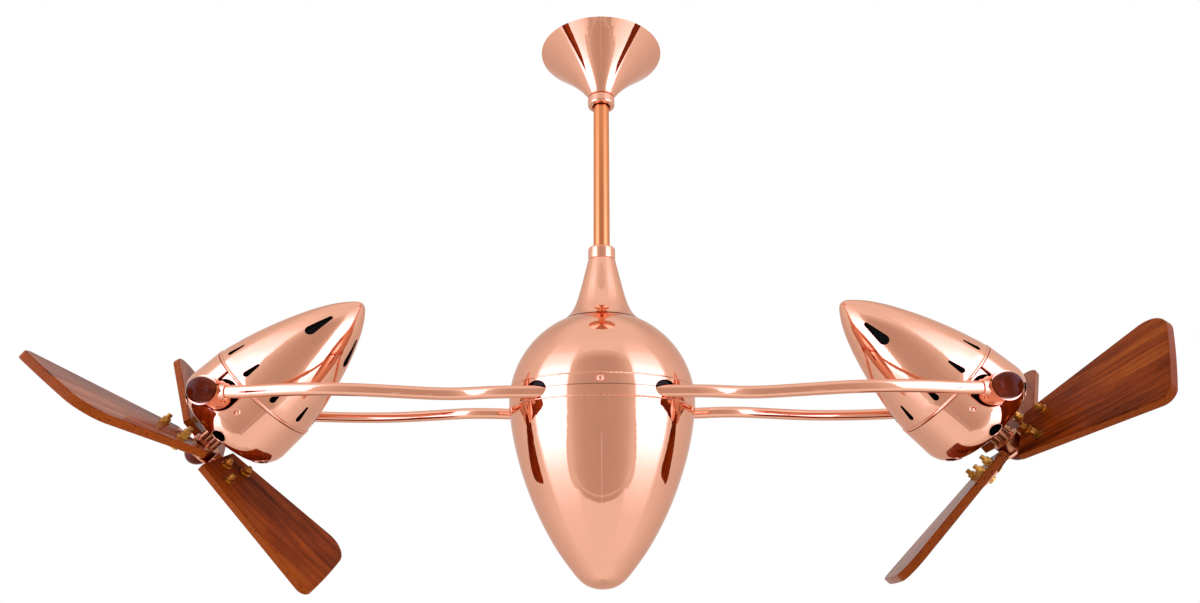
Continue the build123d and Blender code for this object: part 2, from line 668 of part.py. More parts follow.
def bolt_seat_y():
    """Where the pivot bolt's head rests inside the boss."""
    return BOSS_OUTER_Y - BOSS_RECESS - PIVOT_BOLT_HEAD_HEIGHT - 1


def boss_cap(side, end):
    """A wooden ball end that plugs into the boss's recess."""
    radius = BOSS_R - BOSS_RIM_WALL - PLUG_FIT
    low = BOSS_OUTER_Y - BOSS_RECESS
    knob = cylinder(radius, low, low + CAP_SKIRT)
    knob += Pos(0, 0, low + CAP_SKIRT) * Sphere(radius) & cylinder(radius, low + CAP_SKIRT, low + 3 * radius)
    return pivot_place(side, end) * knob


def pivot_bolt(side, end):
    low = PAD_Y - PIVOT_BOLT_GRIP
    seat = bolt_seat_y()
    bolt = cylinder(PIVOT_BOLT_R, low, seat)
    bolt += cylinder(PIVOT_BOLT_HEAD_R, seat, seat + PIVOT_BOLT_HEAD_HEIGHT)
    return pivot_place(side, end) * bolt


# ---- Fan heads, each in its own frame ----------------------------------------------------------

def cowl_radius(share):
    """radius = R (1 - s^p)^q, with s the share of the cowl's length behind its shoulder."""
    return COWL_R * (1 - share ** COWL_POWER) ** COWL_ROOT


def cowl_curve(share):
    """The cowl's outer face from its nose to its shoulder."""
    back = 1 - share ** 2
    return (cowl_radius(back), -COWL_SHOULDER - COWL_LENGTH * back)


def vent(wide_r, narrow_r, start, end):
    """A teardrop cutter in the half plane y = 0, x > 0: wide end forward, narrow end to the nose."""
    drop = make_hull(
        [Pos(0, -start) * Circle(wide_r).edge(), Pos(0, -end) * Circle(narrow_r).edge()])
    return extrude(Plane.YZ.offset(COWL_R / 8) * drop, COWL_R)


def cowl(name, side):
    """A spun bullet with two rows of teardrop vents and a skirt that plugs into the cup."""
    body = spun(cowl_curve, (1, 0), (0, 1))
    body &= cylinder(2 * COWL_R, -COWL_SHOULDER - COWL_LENGTH, -COWL_SHOULDER)
    body += ring(COWL_R - SHEET / 2, SKIRT_R - SHEET, -COWL_SHOULDER - SHEET, -COWL_SHOULDER)
    skirt = ring(SKIRT_R, SKIRT_R - SHEET, -COWL_SHOULDER - SHEET, SKIRT_TOP)
    skirt -= along_y(cylinder(SKIRT_HOLE_R, -2 * COWL_R, 2 * COWL_R))
    body += skirt
    ring_vent = vent(RING_SLOT_WIDE, RING_SLOT_NARROW, RING_SLOT_START, RING_SLOT_END)
    nose_vent = vent(NOSE_SLOT_WIDE, NOSE_SLOT_NARROW, NOSE_SLOT_START, NOSE_SLOT_END)
    cuts = around(RING_SLOTS, ring_vent, -90) + around(NOSE_SLOTS, nose_vent, -90 - side * NOSE_CLOCK[name])
    for cut in cuts + cup_screw_holes():
        body -= cut
    return body


def lip_ring():
    """A rolled ring trapped between the cowl's shoulder and the cup's rear edge."""
    middle_z = -COWL_SHOULDER + TRIM_RING_R
    roll = Pos(0, 0, middle_z) * Torus(COWL_R + TRIM_RING_PROUD - TRIM_RING_R, TRIM_RING_R)
    return roll - cylinder(SKIRT_R + PLUG_FIT, -2 * COWL_SHOULDER, 0)


def cup_screw_places():
    """Four places round the pivots, each with its +Z pointing outwards."""
    return [Rot(0, 0, pivot + turn) * Rot(0, 90, 0) for pivot in (-90, 90)
            for turn in (-CUP_SCREW_ANGLE, CUP_SCREW_ANGLE)]


def cup_radius(height):
    """The cup's outer radius on its straight flank."""
    return CUP_REAR_R + (CUP_WAIST_R - CUP_REAR_R) * (height + CUP_REAR) / (CUP_WAIST + CUP_REAR)


def cup_screw_seat():
    """How far out the cup screws' heads sit, clear of the flank under them."""
    return Pos(0, 0, cup_radius(CUP_SCREW_HEAD_R - CUP_SCREW_SETBACK))


def cup_screw_holes():
    reach = cylinder(CUP_SCREW_R + PLUG_FIT, -CUP_SCREW_LENGTH - 1, SHEET)
    shift = Pos(0, 0, -CUP_SCREW_SETBACK)
    return [shift * place * cup_screw_seat() * reach for place in cup_screw_places()]


def cup(name):
    """The front shell: a flank that opens a little, a round shoulder and a flat face."""
    start, waist = (CUP_REAR_R, -CUP_REAR), (CUP_WAIST_R, CUP_WAIST)
    face_r = CUP_WAIST_R - CUP_SHOULDER_R
    bend = math.radians(45)
    middle = (face_r + CUP_SHOULDER_R * math.cos(bend), CUP_WAIST + CUP_SHOULDER_R * math.sin(bend))
    path = Wire([Line(start, waist).edge(), ThreePointArc(waist, middle, (face_r, CUP_FRONT)).edge(),
                 Line((face_r, CUP_FRONT), (CUP_MOUTH_R, CUP_FRONT)).edge()])
    body = sheet(path)
    body -= Pos(0, 0, -KEYHOLE_SETBACK) * along_y(cylinder(KEYHOLE_R, -2 * CUP_WAIST_R, 2 * CUP_WAIST_R))
    body -= Pos(0, 0, -COWL_SHOULDER - KEYHOLE_SETBACK) * Box(
        2 * KEYHOLE_R, 4 * CUP_WAIST_R, 2 * COWL_SHOULDER)
    lean = math.radians(RIM_HOLE_ANGLE)
    centre_r = face_r + CUP_SHOULDER_R * math.cos(lean)
    centre_z = CUP_WAIST + CUP_SHOULDER_R * math.sin(lean)
    drill = Pos(centre_r, 0, centre_z) * Rot(0, 90 - RIM_HOLE_ANGLE, 0) * cylinder(
        RIM_HOLE_R, -RIM_HOLE_DEPTH, RIM_HOLE_DEPTH)
    for cut in around(RIM_HOLES, drill, RIM_HOLE_CLOCK[name]) + cup_screw_holes():
        body -= cut
    return body


def cup_screws():
    screw = round_head_screw(CUP_SCREW_R, CUP_SCREW_LENGTH, CUP_SCREW_HEAD_R, CUP_SCREW_HEAD_HEIGHT)
    shift = Pos(0, 0, -CUP_SCREW_SETBACK)
    return group(shift * place * cup_screw_seat() * screw for place in cup_screw_places())


def motor_frame():
    """A cast ring with two pivot pads and four lugs for the cup screws."""
    body = cylinder(FRAME_RING_R, -FRAME_RING_HALF, FRAME_RING_HALF)
    pad = Box(PAD_WIDTH, 2 * PAD_Y, 2 * FRAME_RING_HALF)
    body += pad
    lug = Box(2 * LUG_R, LUG_WIDTH, LUG_HEIGHT) & cylinder(LUG_R, -LUG_HEIGHT, LUG_HEIGHT)
    for turn in (90 - CUP_SCREW_ANGLE, 90 + CUP_SCREW_ANGLE):
        body += Pos(0, 0, -CUP_SCREW_SETBACK) * Rot(0, 0, turn) * lug
    body -= cylinder(MOTOR_R + PLUG_FIT, -2 * FRAME_RING_HALF, 2 * FRAME_RING_HALF)
    body -= along_y(cylinder(PIVOT_BOLT_R + TURN_FIT, -2 * PAD_Y, 2 * PAD_Y))
    for hole in cup_screw_holes():
        body -= hole
    return body


def motor():
    """The stator can with its mounting flange and bearing nose, bored for the shaft."""
    body = cylinder(MOTOR_R, -MOTOR_REAR, MOTOR_FRONT)
    body = fillet(body.edges().filter_by(GeomType.CIRCLE), MOTOR_FLANGE)
    body += cylinder(MOTOR_FLANGE_R, FRAME_RING_HALF, FRAME_RING_HALF + MOTOR_FLANGE)
    body += cylinder(MOTOR_NOSE_R, MOTOR_FRONT, MOTOR_FRONT + MOTOR_NOSE)
    return body - cylinder(SHAFT_R + TURN_FIT, -MOTOR_REAR + MOTOR_FLANGE, MOTOR_FRONT + MOTOR_NOSE + 1)


# ---- Rotors, in the frame of their head --------------------------------------------------------

def motor_shaft():
    return cylinder(SHAFT_R, -MOTOR_REAR + MOTOR_FLANGE + RUN_GAP, IRON_FRONT + END_CAP_BORE - PLUG_FIT)


def blade_turns(name):
    return [BLADE_CLOCK[name] + 360 / BLADES * k for k in range(BLADES)]


def hub(name):
    """A barrel of three round lobes, with a round flange inside the blades' roots."""
    lobes = Circle(HUB_LOBE_CENTRE_R)
    lobe = Pos(HUB_LOBE_CENTRE_R, 0) * Circle(HUB_LOBE_R)
    for placed in around(HUB_LOBES, lobe, BLADE_CLOCK[name] + HUB_TURN):
        lobes += placed
    body = Pos(0, 0, HUB_REAR) * extrude(lobes, HUB_FRONT - HUB_REAR)
    body += cylinder(FLANGE_R, HUB_FRONT, IRON_FRONT - IRON_THICK - PLUG_FIT)
    return body - cylinder(SHAFT_R + PLUG_FIT, 0, IRON_FRONT)


def blade_place(turn):
    """The blade's own frame: X outwards, Y along the chord, Z its pitched normal to the front."""
    return Pos(0, 0, BLADE_PLANE) * Rot(0, 0, turn) * Rot(BLADE_PITCH, 0, 0)


def bolt_drills(clearance):
    return [Pos(x, y, 0) * cylinder(BOLT_R + clearance, -BLADE_THICK, BLADE_THICK) for x, y in BOLT_PLACES]


def blade_irons(name):
    """A round centre plate with one pitched iron in front of each blade."""
    body = cylinder(IRON_DISC_R, IRON_FRONT - IRON_THICK, IRON_FRONT)
    start = FLANGE_R + 2 * PLUG_FIT
    bolt_r = BOLT_PLACES[1][0]
    end = bolt_r + IRON_MARGIN
    outline = Polyline((start, -IRON_ROOT_HALF), (start, IRON_ROOT_HALF), (bolt_r - IRON_MARGIN, IRON_HALF),
                       (end, IRON_HALF), (end, -IRON_HALF), (bolt_r - IRON_MARGIN, -IRON_HALF), close=True)
    plate = extrude(make_face(outline), IRON_THICK)
    plate = fillet(plate.edges().filter_by(Axis.Z).group_by(Axis.X)[-1], IRON_MARGIN - 1)
    for turn in blade_turns(name):
        body += blade_place(turn) * (Pos(0, 0, BLADE_THICK / 2) * plate)
    for turn in blade_turns(name):
        for drill in bolt_drills(PLUG_FIT):
            body -= blade_place(turn) * drill
    return body - cylinder(SHAFT_R + PLUG_FIT, 0, 2 * IRON_FRONT)


def blade(turn):
    """A wooden paddle: straight root, wider and slanted tip, a larger round on the trailing corner."""
    half = BLADE_ROOT_WIDTH / 2
    lead = (BLADE_TIP_R, BLADE_LEAD_WIDTH)
    trail = (BLADE_TIP_R - BLADE_TIP_SLANT, -BLADE_TRAIL_WIDTH)
    bulge = (BLADE_TIP_R - BLADE_TIP_SLANT / 2 + BLADE_TIP_BULGE, (lead[1] + trail[1]) / 2)
    face = make_face([Line((BLADE_ROOT_R, -half), (BLADE_ROOT_R, half)).edge(),
                      Line((BLADE_ROOT_R, half), lead).edge(),
                      ThreePointArc(lead, bulge, trail).edge(),
                      Line(trail, (BLADE_ROOT_R, -half)).edge()])
    tips = face.vertices().sort_by(Axis.Y)
    face = fillet(tips[-1], BLADE_LEAD_ROUND)
    face = fillet(face.vertices().sort_by(Axis.Y)[0], BLADE_TRAIL_ROUND)
    body = Pos(0, 0, -BLADE_THICK / 2) * extrude(face, BLADE_THICK)
    rims = body.edges().filter_by(Plane.XY)
    body = fillet([edge for edge in rims if edge.center().X > BLADE_ROOT_R + 1], BLADE_EDGE_ROUND)
    for drill in bolt_drills(PLUG_FIT):
        body -= drill
    return blade_place(turn) * body


def blade_bolt():
    """A bolt with its head over the iron and its thread through washer and nut behind the blade."""
    head_z = BLADE_THICK / 2 + IRON_THICK
    tail_z = -BLADE_THICK / 2 - WASHER_THICK - HEX_HEIGHT - BOLT_TAIL
    head = cylinder(BOLT_HEAD_R, head_z, head_z + BOLT_HEAD_HEIGHT)
    head = fillet(head.edges().filter_by(GeomType.CIRCLE).sort_by(Axis.Z)[-1], BOLT_HEAD_HEIGHT / 2)
    shank = cylinder(BOLT_R, tail_z, head_z)
    return head + chamfer(shank.edges().filter_by(GeomType.CIRCLE).sort_by(Axis.Z)[0], BOLT_R / 5)


def blade_nut():
    """A washer and a hexagon nut behind the blade, as one piece."""
    face_z = -BLADE_THICK / 2
    washer = cylinder(WASHER_R, face_z - WASHER_THICK, face_z)
    hexagon = extrude(RegularPolygon(HEX_FLATS / 2, 6, major_radius=False), HEX_HEIGHT)
    nut = washer + Pos(0, 0, face_z - WASHER_THICK - HEX_HEIGHT) * hexagon
    return nut - cylinder(BOLT_R + PLUG_FIT, face_z - 2 * HEX_HEIGHT, 0)


def at_bolts(name, piece):
    return group(blade_place(turn) * Pos(x, y, 0) * piece
                 for turn in blade_turns(name) for x, y in BOLT_PLACES)


def end_cap():
    """A wooden ball end that plugs onto the shaft in front of the irons."""
    low = IRON_FRONT + PLUG_FIT
    knob = Pos(0, 0, low) * Sphere(END_CAP_R) & cylinder(END_CAP_R, low, low + 2 * END_CAP_R)
    return knob - cylinder(SHAFT_R + PLUG_FIT, low - 1, IRON_FRONT + END_CAP_BORE)


# ---- Assembly ---------------------------------------------------------------------------------

def stem_nodes():
    return {"ceiling_bracket": ceiling_bracket(), "hanger_ball": hanger_ball(), "hanger_pin": hanger_pin(),
            "canopy": canopy(), "canopy_collar": canopy_collar(), "collar_set_screws": collar_set_screws(),
            "downrod": downrod(), "neck_collar": neck_collar(), "neck_cone": neck_cone(),
            "spindle": spindle(), "spindle_nut": spindle_nut(), "slip_ring": slip_ring()}


def carousel_nodes():
    nodes = {"upper_bearing": bearing(UPPER_BEARING_Z), "lower_bearing": bearing(LOWER_BEARING_Z),
             "brush_block": brush_block(), "dome": dome(), "bullet": bullet(),
             "shell_screws": shell_screws(), "arm_hub": arm_hub(), "arm_clamps": arm_clamps(),
             "clamp_screws": clamp_screws()}
    names = ("rear_right_arm", "rear_left_arm", "front_right_arm", "front_left_arm")
    for name, shape in zip(names, quadrants(arm())):
        nodes[name] = shape
    for name, side in (("left", -1), ("right", 1)):
        nodes[name + "_pivot_bosses"] = group(pivot_boss(side, end) for end in (-1, 1))
        nodes[name + "_boss_caps"] = group(boss_cap(side, end) for end in (-1, 1))
    nodes["pivot_bolts"] = group(pivot_bolt(side, end) for side in (-1, 1) for end in (-1, 1))
    return nodes


def head_place(name, side):
    """The head's frame: its +Z tilts down and outwards from the pivot, its Y stays along the pivot."""
    tilt = math.radians(TILT[name])
    axis = Vector(side * math.cos(tilt), 0, -math.sin(tilt))
    return Plane(origin=(side * PIVOT_X, 0, ARM_Z), x_dir=Vector(0, 1, 0).cross(axis), z_dir=axis).location


def head_nodes(name, side):
    pieces = {"cowl": cowl(name, side), "cup": cup(name), "lip_ring": lip_ring(), "motor_frame": motor_frame(),
              "motor": motor(), "cup_screws": cup_screws(), "motor_shaft": motor_shaft(), "hub": hub(name),
              "blade_irons": blade_irons(name), "blade_bolts": at_bolts(name, blade_bolt()),
              "blade_nuts": at_bolts(name, blade_nut()), "end_cap": end_cap()}
    for number, turn in enumerate(blade_turns(name), start=1):
        pieces["blade_" + str(number)] = blade(turn)
    place = head_place(name, side)
    return {name + "_" + piece: place * shape for piece, shape in pieces.items()}


os.makedirs("parts", exist_ok=True)
nodes = stem_nodes() | carousel_nodes() | head_nodes("left", -1) | head_nodes("right", 1)
for node, shape in nodes.items():
    export_step(shape, "parts/" + node + ".step")
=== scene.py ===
# %% [markdown]
# # A twin head ceiling fan in polished copper and mahogany
# The solids of the fan come ready made, at their real size, as a fixed frame: every object that is
# loaded here is one piece of the fan, and its place is in its mesh. This notebook gives the pieces
# their finish, adds the small details that the solids leave out, and builds a plain studio.

# %% Load the solids of the fan
import json
import math

import bpy
import numpy as np
from mathutils import Matrix, Vector


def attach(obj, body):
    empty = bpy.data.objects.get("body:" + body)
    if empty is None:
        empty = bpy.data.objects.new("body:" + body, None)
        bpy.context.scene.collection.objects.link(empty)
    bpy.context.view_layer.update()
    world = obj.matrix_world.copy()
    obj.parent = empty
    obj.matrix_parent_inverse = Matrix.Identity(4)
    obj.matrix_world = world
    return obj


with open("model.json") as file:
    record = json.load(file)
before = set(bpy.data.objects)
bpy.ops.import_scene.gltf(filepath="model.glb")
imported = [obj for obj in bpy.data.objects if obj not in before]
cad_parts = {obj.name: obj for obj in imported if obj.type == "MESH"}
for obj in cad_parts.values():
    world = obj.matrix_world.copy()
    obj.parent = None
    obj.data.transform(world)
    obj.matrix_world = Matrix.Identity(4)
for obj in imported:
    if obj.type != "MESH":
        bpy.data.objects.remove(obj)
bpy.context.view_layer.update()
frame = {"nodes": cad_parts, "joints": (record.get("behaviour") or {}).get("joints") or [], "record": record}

HEADS = ("left", "right")
nodes = frame["nodes"]
joints = {joint["name"]: joint for joint in frame["joints"]}

# %% [markdown]
# ## The camera
# The camera stands close below the waist of the fan and looks up at it, so the canopy is seen from
# underneath and the tips of the blades come out large. A wide lens is described by its focal length
# in widths of the picture: the lens of a 36 mm sensor is 36 times that share. The camera is turned
# by three small angles. A turn about the world's Z axis pans it, a turn about its own X axis tilts
# it up from the horizon, and a turn about its line of sight rolls it.

# %% Set up the camera
FRAME_WIDTH = 1200
FOCAL_WIDTH = 720
SENSOR = 36.0
CAMERA_PLACE = Vector((0.013, -0.780, -0.5665))
PAN = math.radians(1.107)
TILT_UP = math.radians(17.18)
ROLL = math.radians(-0.135)

lens = bpy.data.cameras.new("studio_camera")
lens.sensor_width = SENSOR
lens.lens = SENSOR * FOCAL_WIDTH / FRAME_WIDTH
camera = bpy.data.objects.new("studio_camera", lens)
pan = Matrix.Rotation(PAN, 4, "Z")
tilt_up = Matrix.Rotation(math.pi / 2 + TILT_UP, 4, "X")
roll = Matrix.Rotation(ROLL, 4, "Z")
camera.matrix_world = Matrix.Translation(CAMERA_PLACE) @ pan @ tilt_up @ roll
scene = bpy.context.scene
scene.collection.objects.link(camera)
scene.camera = camera
scene.view_settings.view_transform = "Standard"
print(f"lens {lens.lens:.1f} mm, {-CAMERA_PLACE.y:.2f} m in front of the stem")

# %% [markdown]
# ## Shader maths as plain expressions
# A finish is a small calculation that Blender repeats for each point of a surface. The calculation
# is a tree of nodes, and writing such a tree link by link is long and hard to read. Here a `Signal`
# wraps the output of a node and takes Python's operators, so that `1 - mask * 0.5` adds the Math
# nodes by itself. A `Recipe` is the tree: its `add` method makes any other node from its type, its
# settings and the values or links of its sockets.

# %% Signals and recipes
class Signal:
    """The output of a node. Adding, multiplying or raising it adds the Math node that does so."""

    def __init__(self, recipe, socket):
        self.recipe = recipe
        self.socket = socket

    def sibling(self, name):
        """Another output of the same node."""
        return Signal(self.recipe, self.socket.node.outputs[name])

    def combine(self, operation, *values):
        """One Math node on the values."""
        return self.recipe.add("Math", {"operation": operation}, dict(enumerate(values)))

    def __add__(self, other):
        return self.combine("ADD", self, other)

    def __sub__(self, other):
        return self.combine("SUBTRACT", self, other)

    def __rsub__(self, other):
        return self.combine("SUBTRACT", other, self)

    def __mul__(self, other):
        return self.combine("MULTIPLY", self, other)

    def __truediv__(self, other):
        return self.combine("DIVIDE", self, other)

    def __pow__(self, other):
        return self.combine("POWER", self, other)

    def __neg__(self):
        return self * -1

    def __abs__(self):
        return self.combine("ABSOLUTE", self)

    __radd__ = __add__
    __rmul__ = __mul__


class Recipe:
    """A tree of shader nodes. Values that reach a socket are signals, numbers or tuples."""

    def __init__(self, tree):
        self.tree = tree
        tree.nodes.clear()

    def add(self, kind, settings=None, sockets=None, output=0):
        """Makes one node, with its settings first and then the values or links of its sockets."""
        node = self.tree.nodes.new("ShaderNode" + kind)
        settings = dict(settings or {})
        stops = settings.pop("stops", None)
        for name, value in settings.items():
            setattr(node, name, value)
        if stops:
            ramp = node.color_ramp
            while len(ramp.elements) < len(stops):
                ramp.elements.new(0.5)
            for element, (place, colour) in zip(ramp.elements, stops):
                element.position = place
                element.color = (*colour, 1)
        for name, value in (sockets or {}).items():
            if isinstance(value, Signal):
                self.tree.links.new(value.socket, node.inputs[name])
            else:
                node.inputs[name].default_value = value
        return Signal(self, node.outputs[output]) if node.outputs else None

    def rise(self, value, low, high):
        """0 below low and 1 above high, with a soft step between them."""
        settings = {"interpolation_type": "SMOOTHSTEP"}
        return self.add("MapRange", settings, {"Value": value, "From Min": low, "From Max": high})

    def mix(self, share, first, second):
        """The first colour where share is 0 and the second where it is 1."""
        return self.add("Mix", {"data_type": "RGBA"}, {0: share, 6: first, 7: second}, 2)

    def vector(self, operation, *vectors, output="Vector"):
        """One Vector Math node on the vectors. A length or a dot product comes out as its Value."""
        return self.add("VectorMath", {"operation": operation}, dict(enumerate(vectors)), output)

    def object_place(self):
        """Object coordinates: the place on the piece, in metres."""
        return self.add("TexCoord", None, None, "Object")

    def curve(self, value, stops):
        """A colour that runs straight from stop to stop, each a place and three numbers."""
        low, high = stops[0][0], stops[-1][0]
        top = max(max(colour) for _, colour in stops)
        shares = [((place - low) / (high - low), [part / top for part in colour])
                  for place, colour in stops]
        share = self.add("MapRange", None, {"Value": value, "From Min": low, "From Max": high})
        ramp = self.add("ValToRGB", {"stops": shares}, {"Fac": share})
        return self.vector("MULTIPLY", ramp, (top, top, top))

    def noise(self, vector, scale, detail=2.0, roughness=0.5):
        """Smooth random values from 0 to 1, about scale of them to a metre."""
        sockets = {"Vector": vector, "Scale": scale, "Detail": detail, "Roughness": roughness}
        return self.add("TexNoise", None, sockets)

    def grain(self, vector, scales, detail=2.0, roughness=0.5):
        """Noise that is stretched: each axis has its own number of values to a metre."""
        return self.noise(self.vector("MULTIPLY", vector, scales), 1, detail, roughness)


def rgb(red, green, blue):
    """A colour given as screen values from 0 to 255, made linear by the usual screen curve."""
    shares = np.array([red, green, blue]) / 255
    linear = np.where(shares < 0.04045, shares / 12.92, ((shares + 0.055) / 1.055) ** 2.4)
    return (*(float(value) for value in linear), 1.0)


def toned(colour, factor):
    """A colour made lighter or darker by a factor."""
    return (*(factor * part for part in colour[:3]), 1)


print("screen grey 128 is", round(rgb(128, 128, 128)[0], 3), "in a shader")

# %% [markdown]
# ## The studio
# Polished copper has hardly any look of its own: what is seen in it is the room. The fan hangs in a
# white room. Two tall soft lights stand before it, one on each side of the camera, and between them
# the shells mirror a warm grey wall with rounded corners. The lights are close, so the middle and
# the two heads each see them at another angle. A world picture can't do that, because it lies
# infinitely far away. So the lights and the wall are painted on one real folding screen of three
# leaves that only reflections can see. The world behind it is white for the camera, an even grey
# for plain surfaces, and for reflections a room with a white ceiling that gets darker towards its
# back.

# %% The room that the metal mirrors
# Degrees from the front, and the colour of the room there.
ROOM_TONES = [(0, (1.04, 1.04, 1.04)), (78, (1.04, 1.04, 1.04)), (98, (0.96, 0.94, 0.92)),
              (122, (0.82, 0.79, 0.77)), (145, (0.72, 0.69, 0.67)), (180, (0.70, 0.66, 0.64))]
CEILING_FROM = (0.75, 0.95)
PLAIN_WORLD = (0.55, 0.55, 0.55, 1)
PAPER_WHITE = (1, 1, 1, 1)
RADIAN = 180 / math.pi

world = bpy.data.worlds.new("studio")
world.use_nodes = True
scene.world = world
room = Recipe(world.node_tree)
x = room.add("SeparateXYZ", None, {0: room.add("TexCoord")})
y, z = x.sibling("Y"), x.sibling("Z")
turned_by = abs(x.combine("ARCTAN2", x, -y)) * RADIAN
colour = room.curve(turned_by, ROOM_TONES)
colour = room.mix(room.rise(z, *CEILING_FROM), colour, PAPER_WHITE)
from_camera = room.add("LightPath", None, None, "Is Camera Ray")
mirrored = from_camera.sibling("Is Glossy Ray") + from_camera.sibling("Is Transmission Ray")
colour = room.mix(mirrored, PLAIN_WORLD, colour)
colour = room.mix(from_camera, colour, PAPER_WHITE)
room.add("OutputWorld", None, {"Surface": room.add("Background", None, {"Color": colour})})
print("room tones at", [place for place, _ in ROOM_TONES], "degrees from the front")

# %% The folding screen
# The plan is the four upright edges, seen from above. Heights are measured from the ceiling.
SCREEN_PLAN = np.array([(-1.00, -0.05), (-0.45, -0.58), (0.45, -0.58), (1.00, -0.05)])
SCREEN_HEIGHTS = np.array([-1.9, 1.3])

plan = np.repeat(SCREEN_PLAN, 2, 0)
heights = np.tile(SCREEN_HEIGHTS, len(SCREEN_PLAN))[:, None]
leaves = [(k, k + 1, k + 3, k + 2) for k in (0, 2, 4)]
screen_mesh = bpy.data.meshes.new("folding_screen")
screen_mesh.from_pydata(np.concatenate([plan, heights], 1), [], leaves)
screen = bpy.data.objects.new("folding_screen", screen_mesh)
scene.collection.objects.link(screen)
for ray in ("camera", "diffuse", "shadow", "transmission", "volume_scatter"):
    setattr(screen, "visible_" + ray, False)
print("screen of", len(screen_mesh.polygons), "leaves, seen by reflections only")

# %% [markdown]
# ## The picture on the screen
# The picture depends only on the height and on the distance aside from the middle, so its two
# halves match. Each light is a tall strip that glows most at the height of the fan and fades above
# and below it. A strong light is a little cooler, which keeps its mirror image in the red metal
# white. The wall between them is a rounded box: the formula of a circle with a power of seven in
# place of two. It is darkest in its middle, wider at its foot and paler towards its top. A pale
# border and a thin pale joint on its lower part break up the even grey.

# %% Paint the lights and the wall
ROOM_WHITE = (1.04, 1.04, 1.04, 1)
# Heights of the lights and their strength there.
LIGHT_TONES = [(-1.9, 1.04), (-1.35, 1.08), (-1.22, 1.15), (-1.10, 1.3), (-0.99, 1.5),
               (-0.90, 1.75), (-0.80, 2.3), (-0.68, 3.0), (-0.10, 3.0), (0.10, 2.0),
               (0.30, 1.6), (0.45, 1.25), (0.80, 1.08), (1.3, 1.04)]
COOLNESS = 1.3
LIGHT_INNER, LIGHT_OUTER = (0.41, 0.50), (0.88, 1.00)
# Shares of the wall's half width, from its middle out, and its colour there.
WALL_TONES = [(0, (0.62, 0.54, 0.49)), (0.42, (0.66, 0.58, 0.53)), (0.70, (0.76, 0.70, 0.66)),
              (0.90, (0.93, 0.90, 0.88)), (1.0, (1.02, 1.00, 0.99))]
WALL_MIDDLE, WALL_HALF_HEIGHT = -0.39, 0.72
WALL_HALF_WIDTH, WALL_FLARE, FLARE_BELOW = 0.45, 0.11, (0.45, 1.0)
WALL_ROUND = 7
WALL_EDGE = (0.94, 1.06)
PALE_ABOVE, PALE_SHARE = (0.05, 0.33), 0.6
BORDER_START, BORDER_END, BORDER_BELOW = (0.46, 0.50), (0.56, 0.60), (0.6, 0.9)
JOINT_HALF, JOINT_BELOW = (0.004, 0.010), (0.62, 0.70)
LINE_SHARE = 0.45

picture = bpy.data.materials.new("screen_picture")
picture.use_nodes = True
recipe = Recipe(picture.node_tree)
x = recipe.add("SeparateXYZ", None, {0: recipe.object_place()})
z, aside = x.sibling("Z"), abs(x)
light = recipe.curve(z, [(place, (tone, tone, tone ** COOLNESS)) for place, tone in LIGHT_TONES])
lit = recipe.rise(aside, *LIGHT_INNER) * (1 - recipe.rise(aside, *LIGHT_OUTER))
colour = recipe.mix(lit, ROOM_WHITE, light)
across = aside / (WALL_HALF_WIDTH + recipe.rise(-z, *FLARE_BELOW) * WALL_FLARE)
upright = abs(z - WALL_MIDDLE) / WALL_HALF_HEIGHT
off_centre = across ** WALL_ROUND + upright ** WALL_ROUND
wall = recipe.curve(across, WALL_TONES)
wall = recipe.mix(recipe.rise(z, *PALE_ABOVE) * PALE_SHARE, wall, ROOM_WHITE)
border = recipe.rise(off_centre, *BORDER_START) * (1 - recipe.rise(off_centre, *BORDER_END))
border = border * recipe.rise(-z, *BORDER_BELOW)
joint = (1 - recipe.rise(aside, *JOINT_HALF)) * recipe.rise(-z, *JOINT_BELOW)
wall = recipe.mix((border + joint) * LINE_SHARE, wall, ROOM_WHITE)
colour = recipe.mix(1 - recipe.rise(off_centre, *WALL_EDGE), colour, wall)
recipe.add("OutputMaterial", None, {"Surface": recipe.add("Emission", None, {"Color": colour})})
screen_mesh.materials.append(picture)
print("lights from", LIGHT_INNER[0], "to", LIGHT_OUTER[1], "m aside")

# %% [markdown]
# ## Lamps and floor
# The screen is only seen in reflections, so wood and paint get their light from the even grey world
# and from soft lamps: two in front, two behind and one overhead, all hidden from the camera and from
# reflections. A pale floor throws some of it back up at the undersides, and its rim glows, as the
# floor of a larger room would. Neither the camera nor the metal sees the floor.

# %% Lamps
# Degrees from the front and watts.
LAMPS = {"front_left": (-68, 20), "front_right": (68, 20),
         "back_left": (-140, 12), "back_right": (140, 12)}
LAMP_DISTANCE = 2.2
LAMP_SIZE = (1.3, 1.8)
# The overhead lamp is a hair off the stem, because a lamp straight above its aim has no sure turn.
OVERHEAD_PLACE, OVERHEAD_POWER, OVERHEAD_SIZE = Vector((0, 0.001, 1.6)), 18, (1.6, 1.6)
WAIST = Vector((0, 0, -0.44))


def lamp(name, place, power, size):
    """A soft rectangular lamp that looks at the waist of the fan."""
    data = bpy.data.lights.new(name, "AREA")
    data.shape = "RECTANGLE"
    data.size, data.size_y = size
    data.energy = power
    shown = bpy.data.objects.new(name, data)
    aim = (WAIST - place).to_track_quat("-Z", "Y")
    shown.matrix_world = Matrix.Translation(place) @ aim.to_matrix().to_4x4()
    shown.visible_camera = False
    shown.visible_glossy = False
    scene.collection.objects.link(shown)


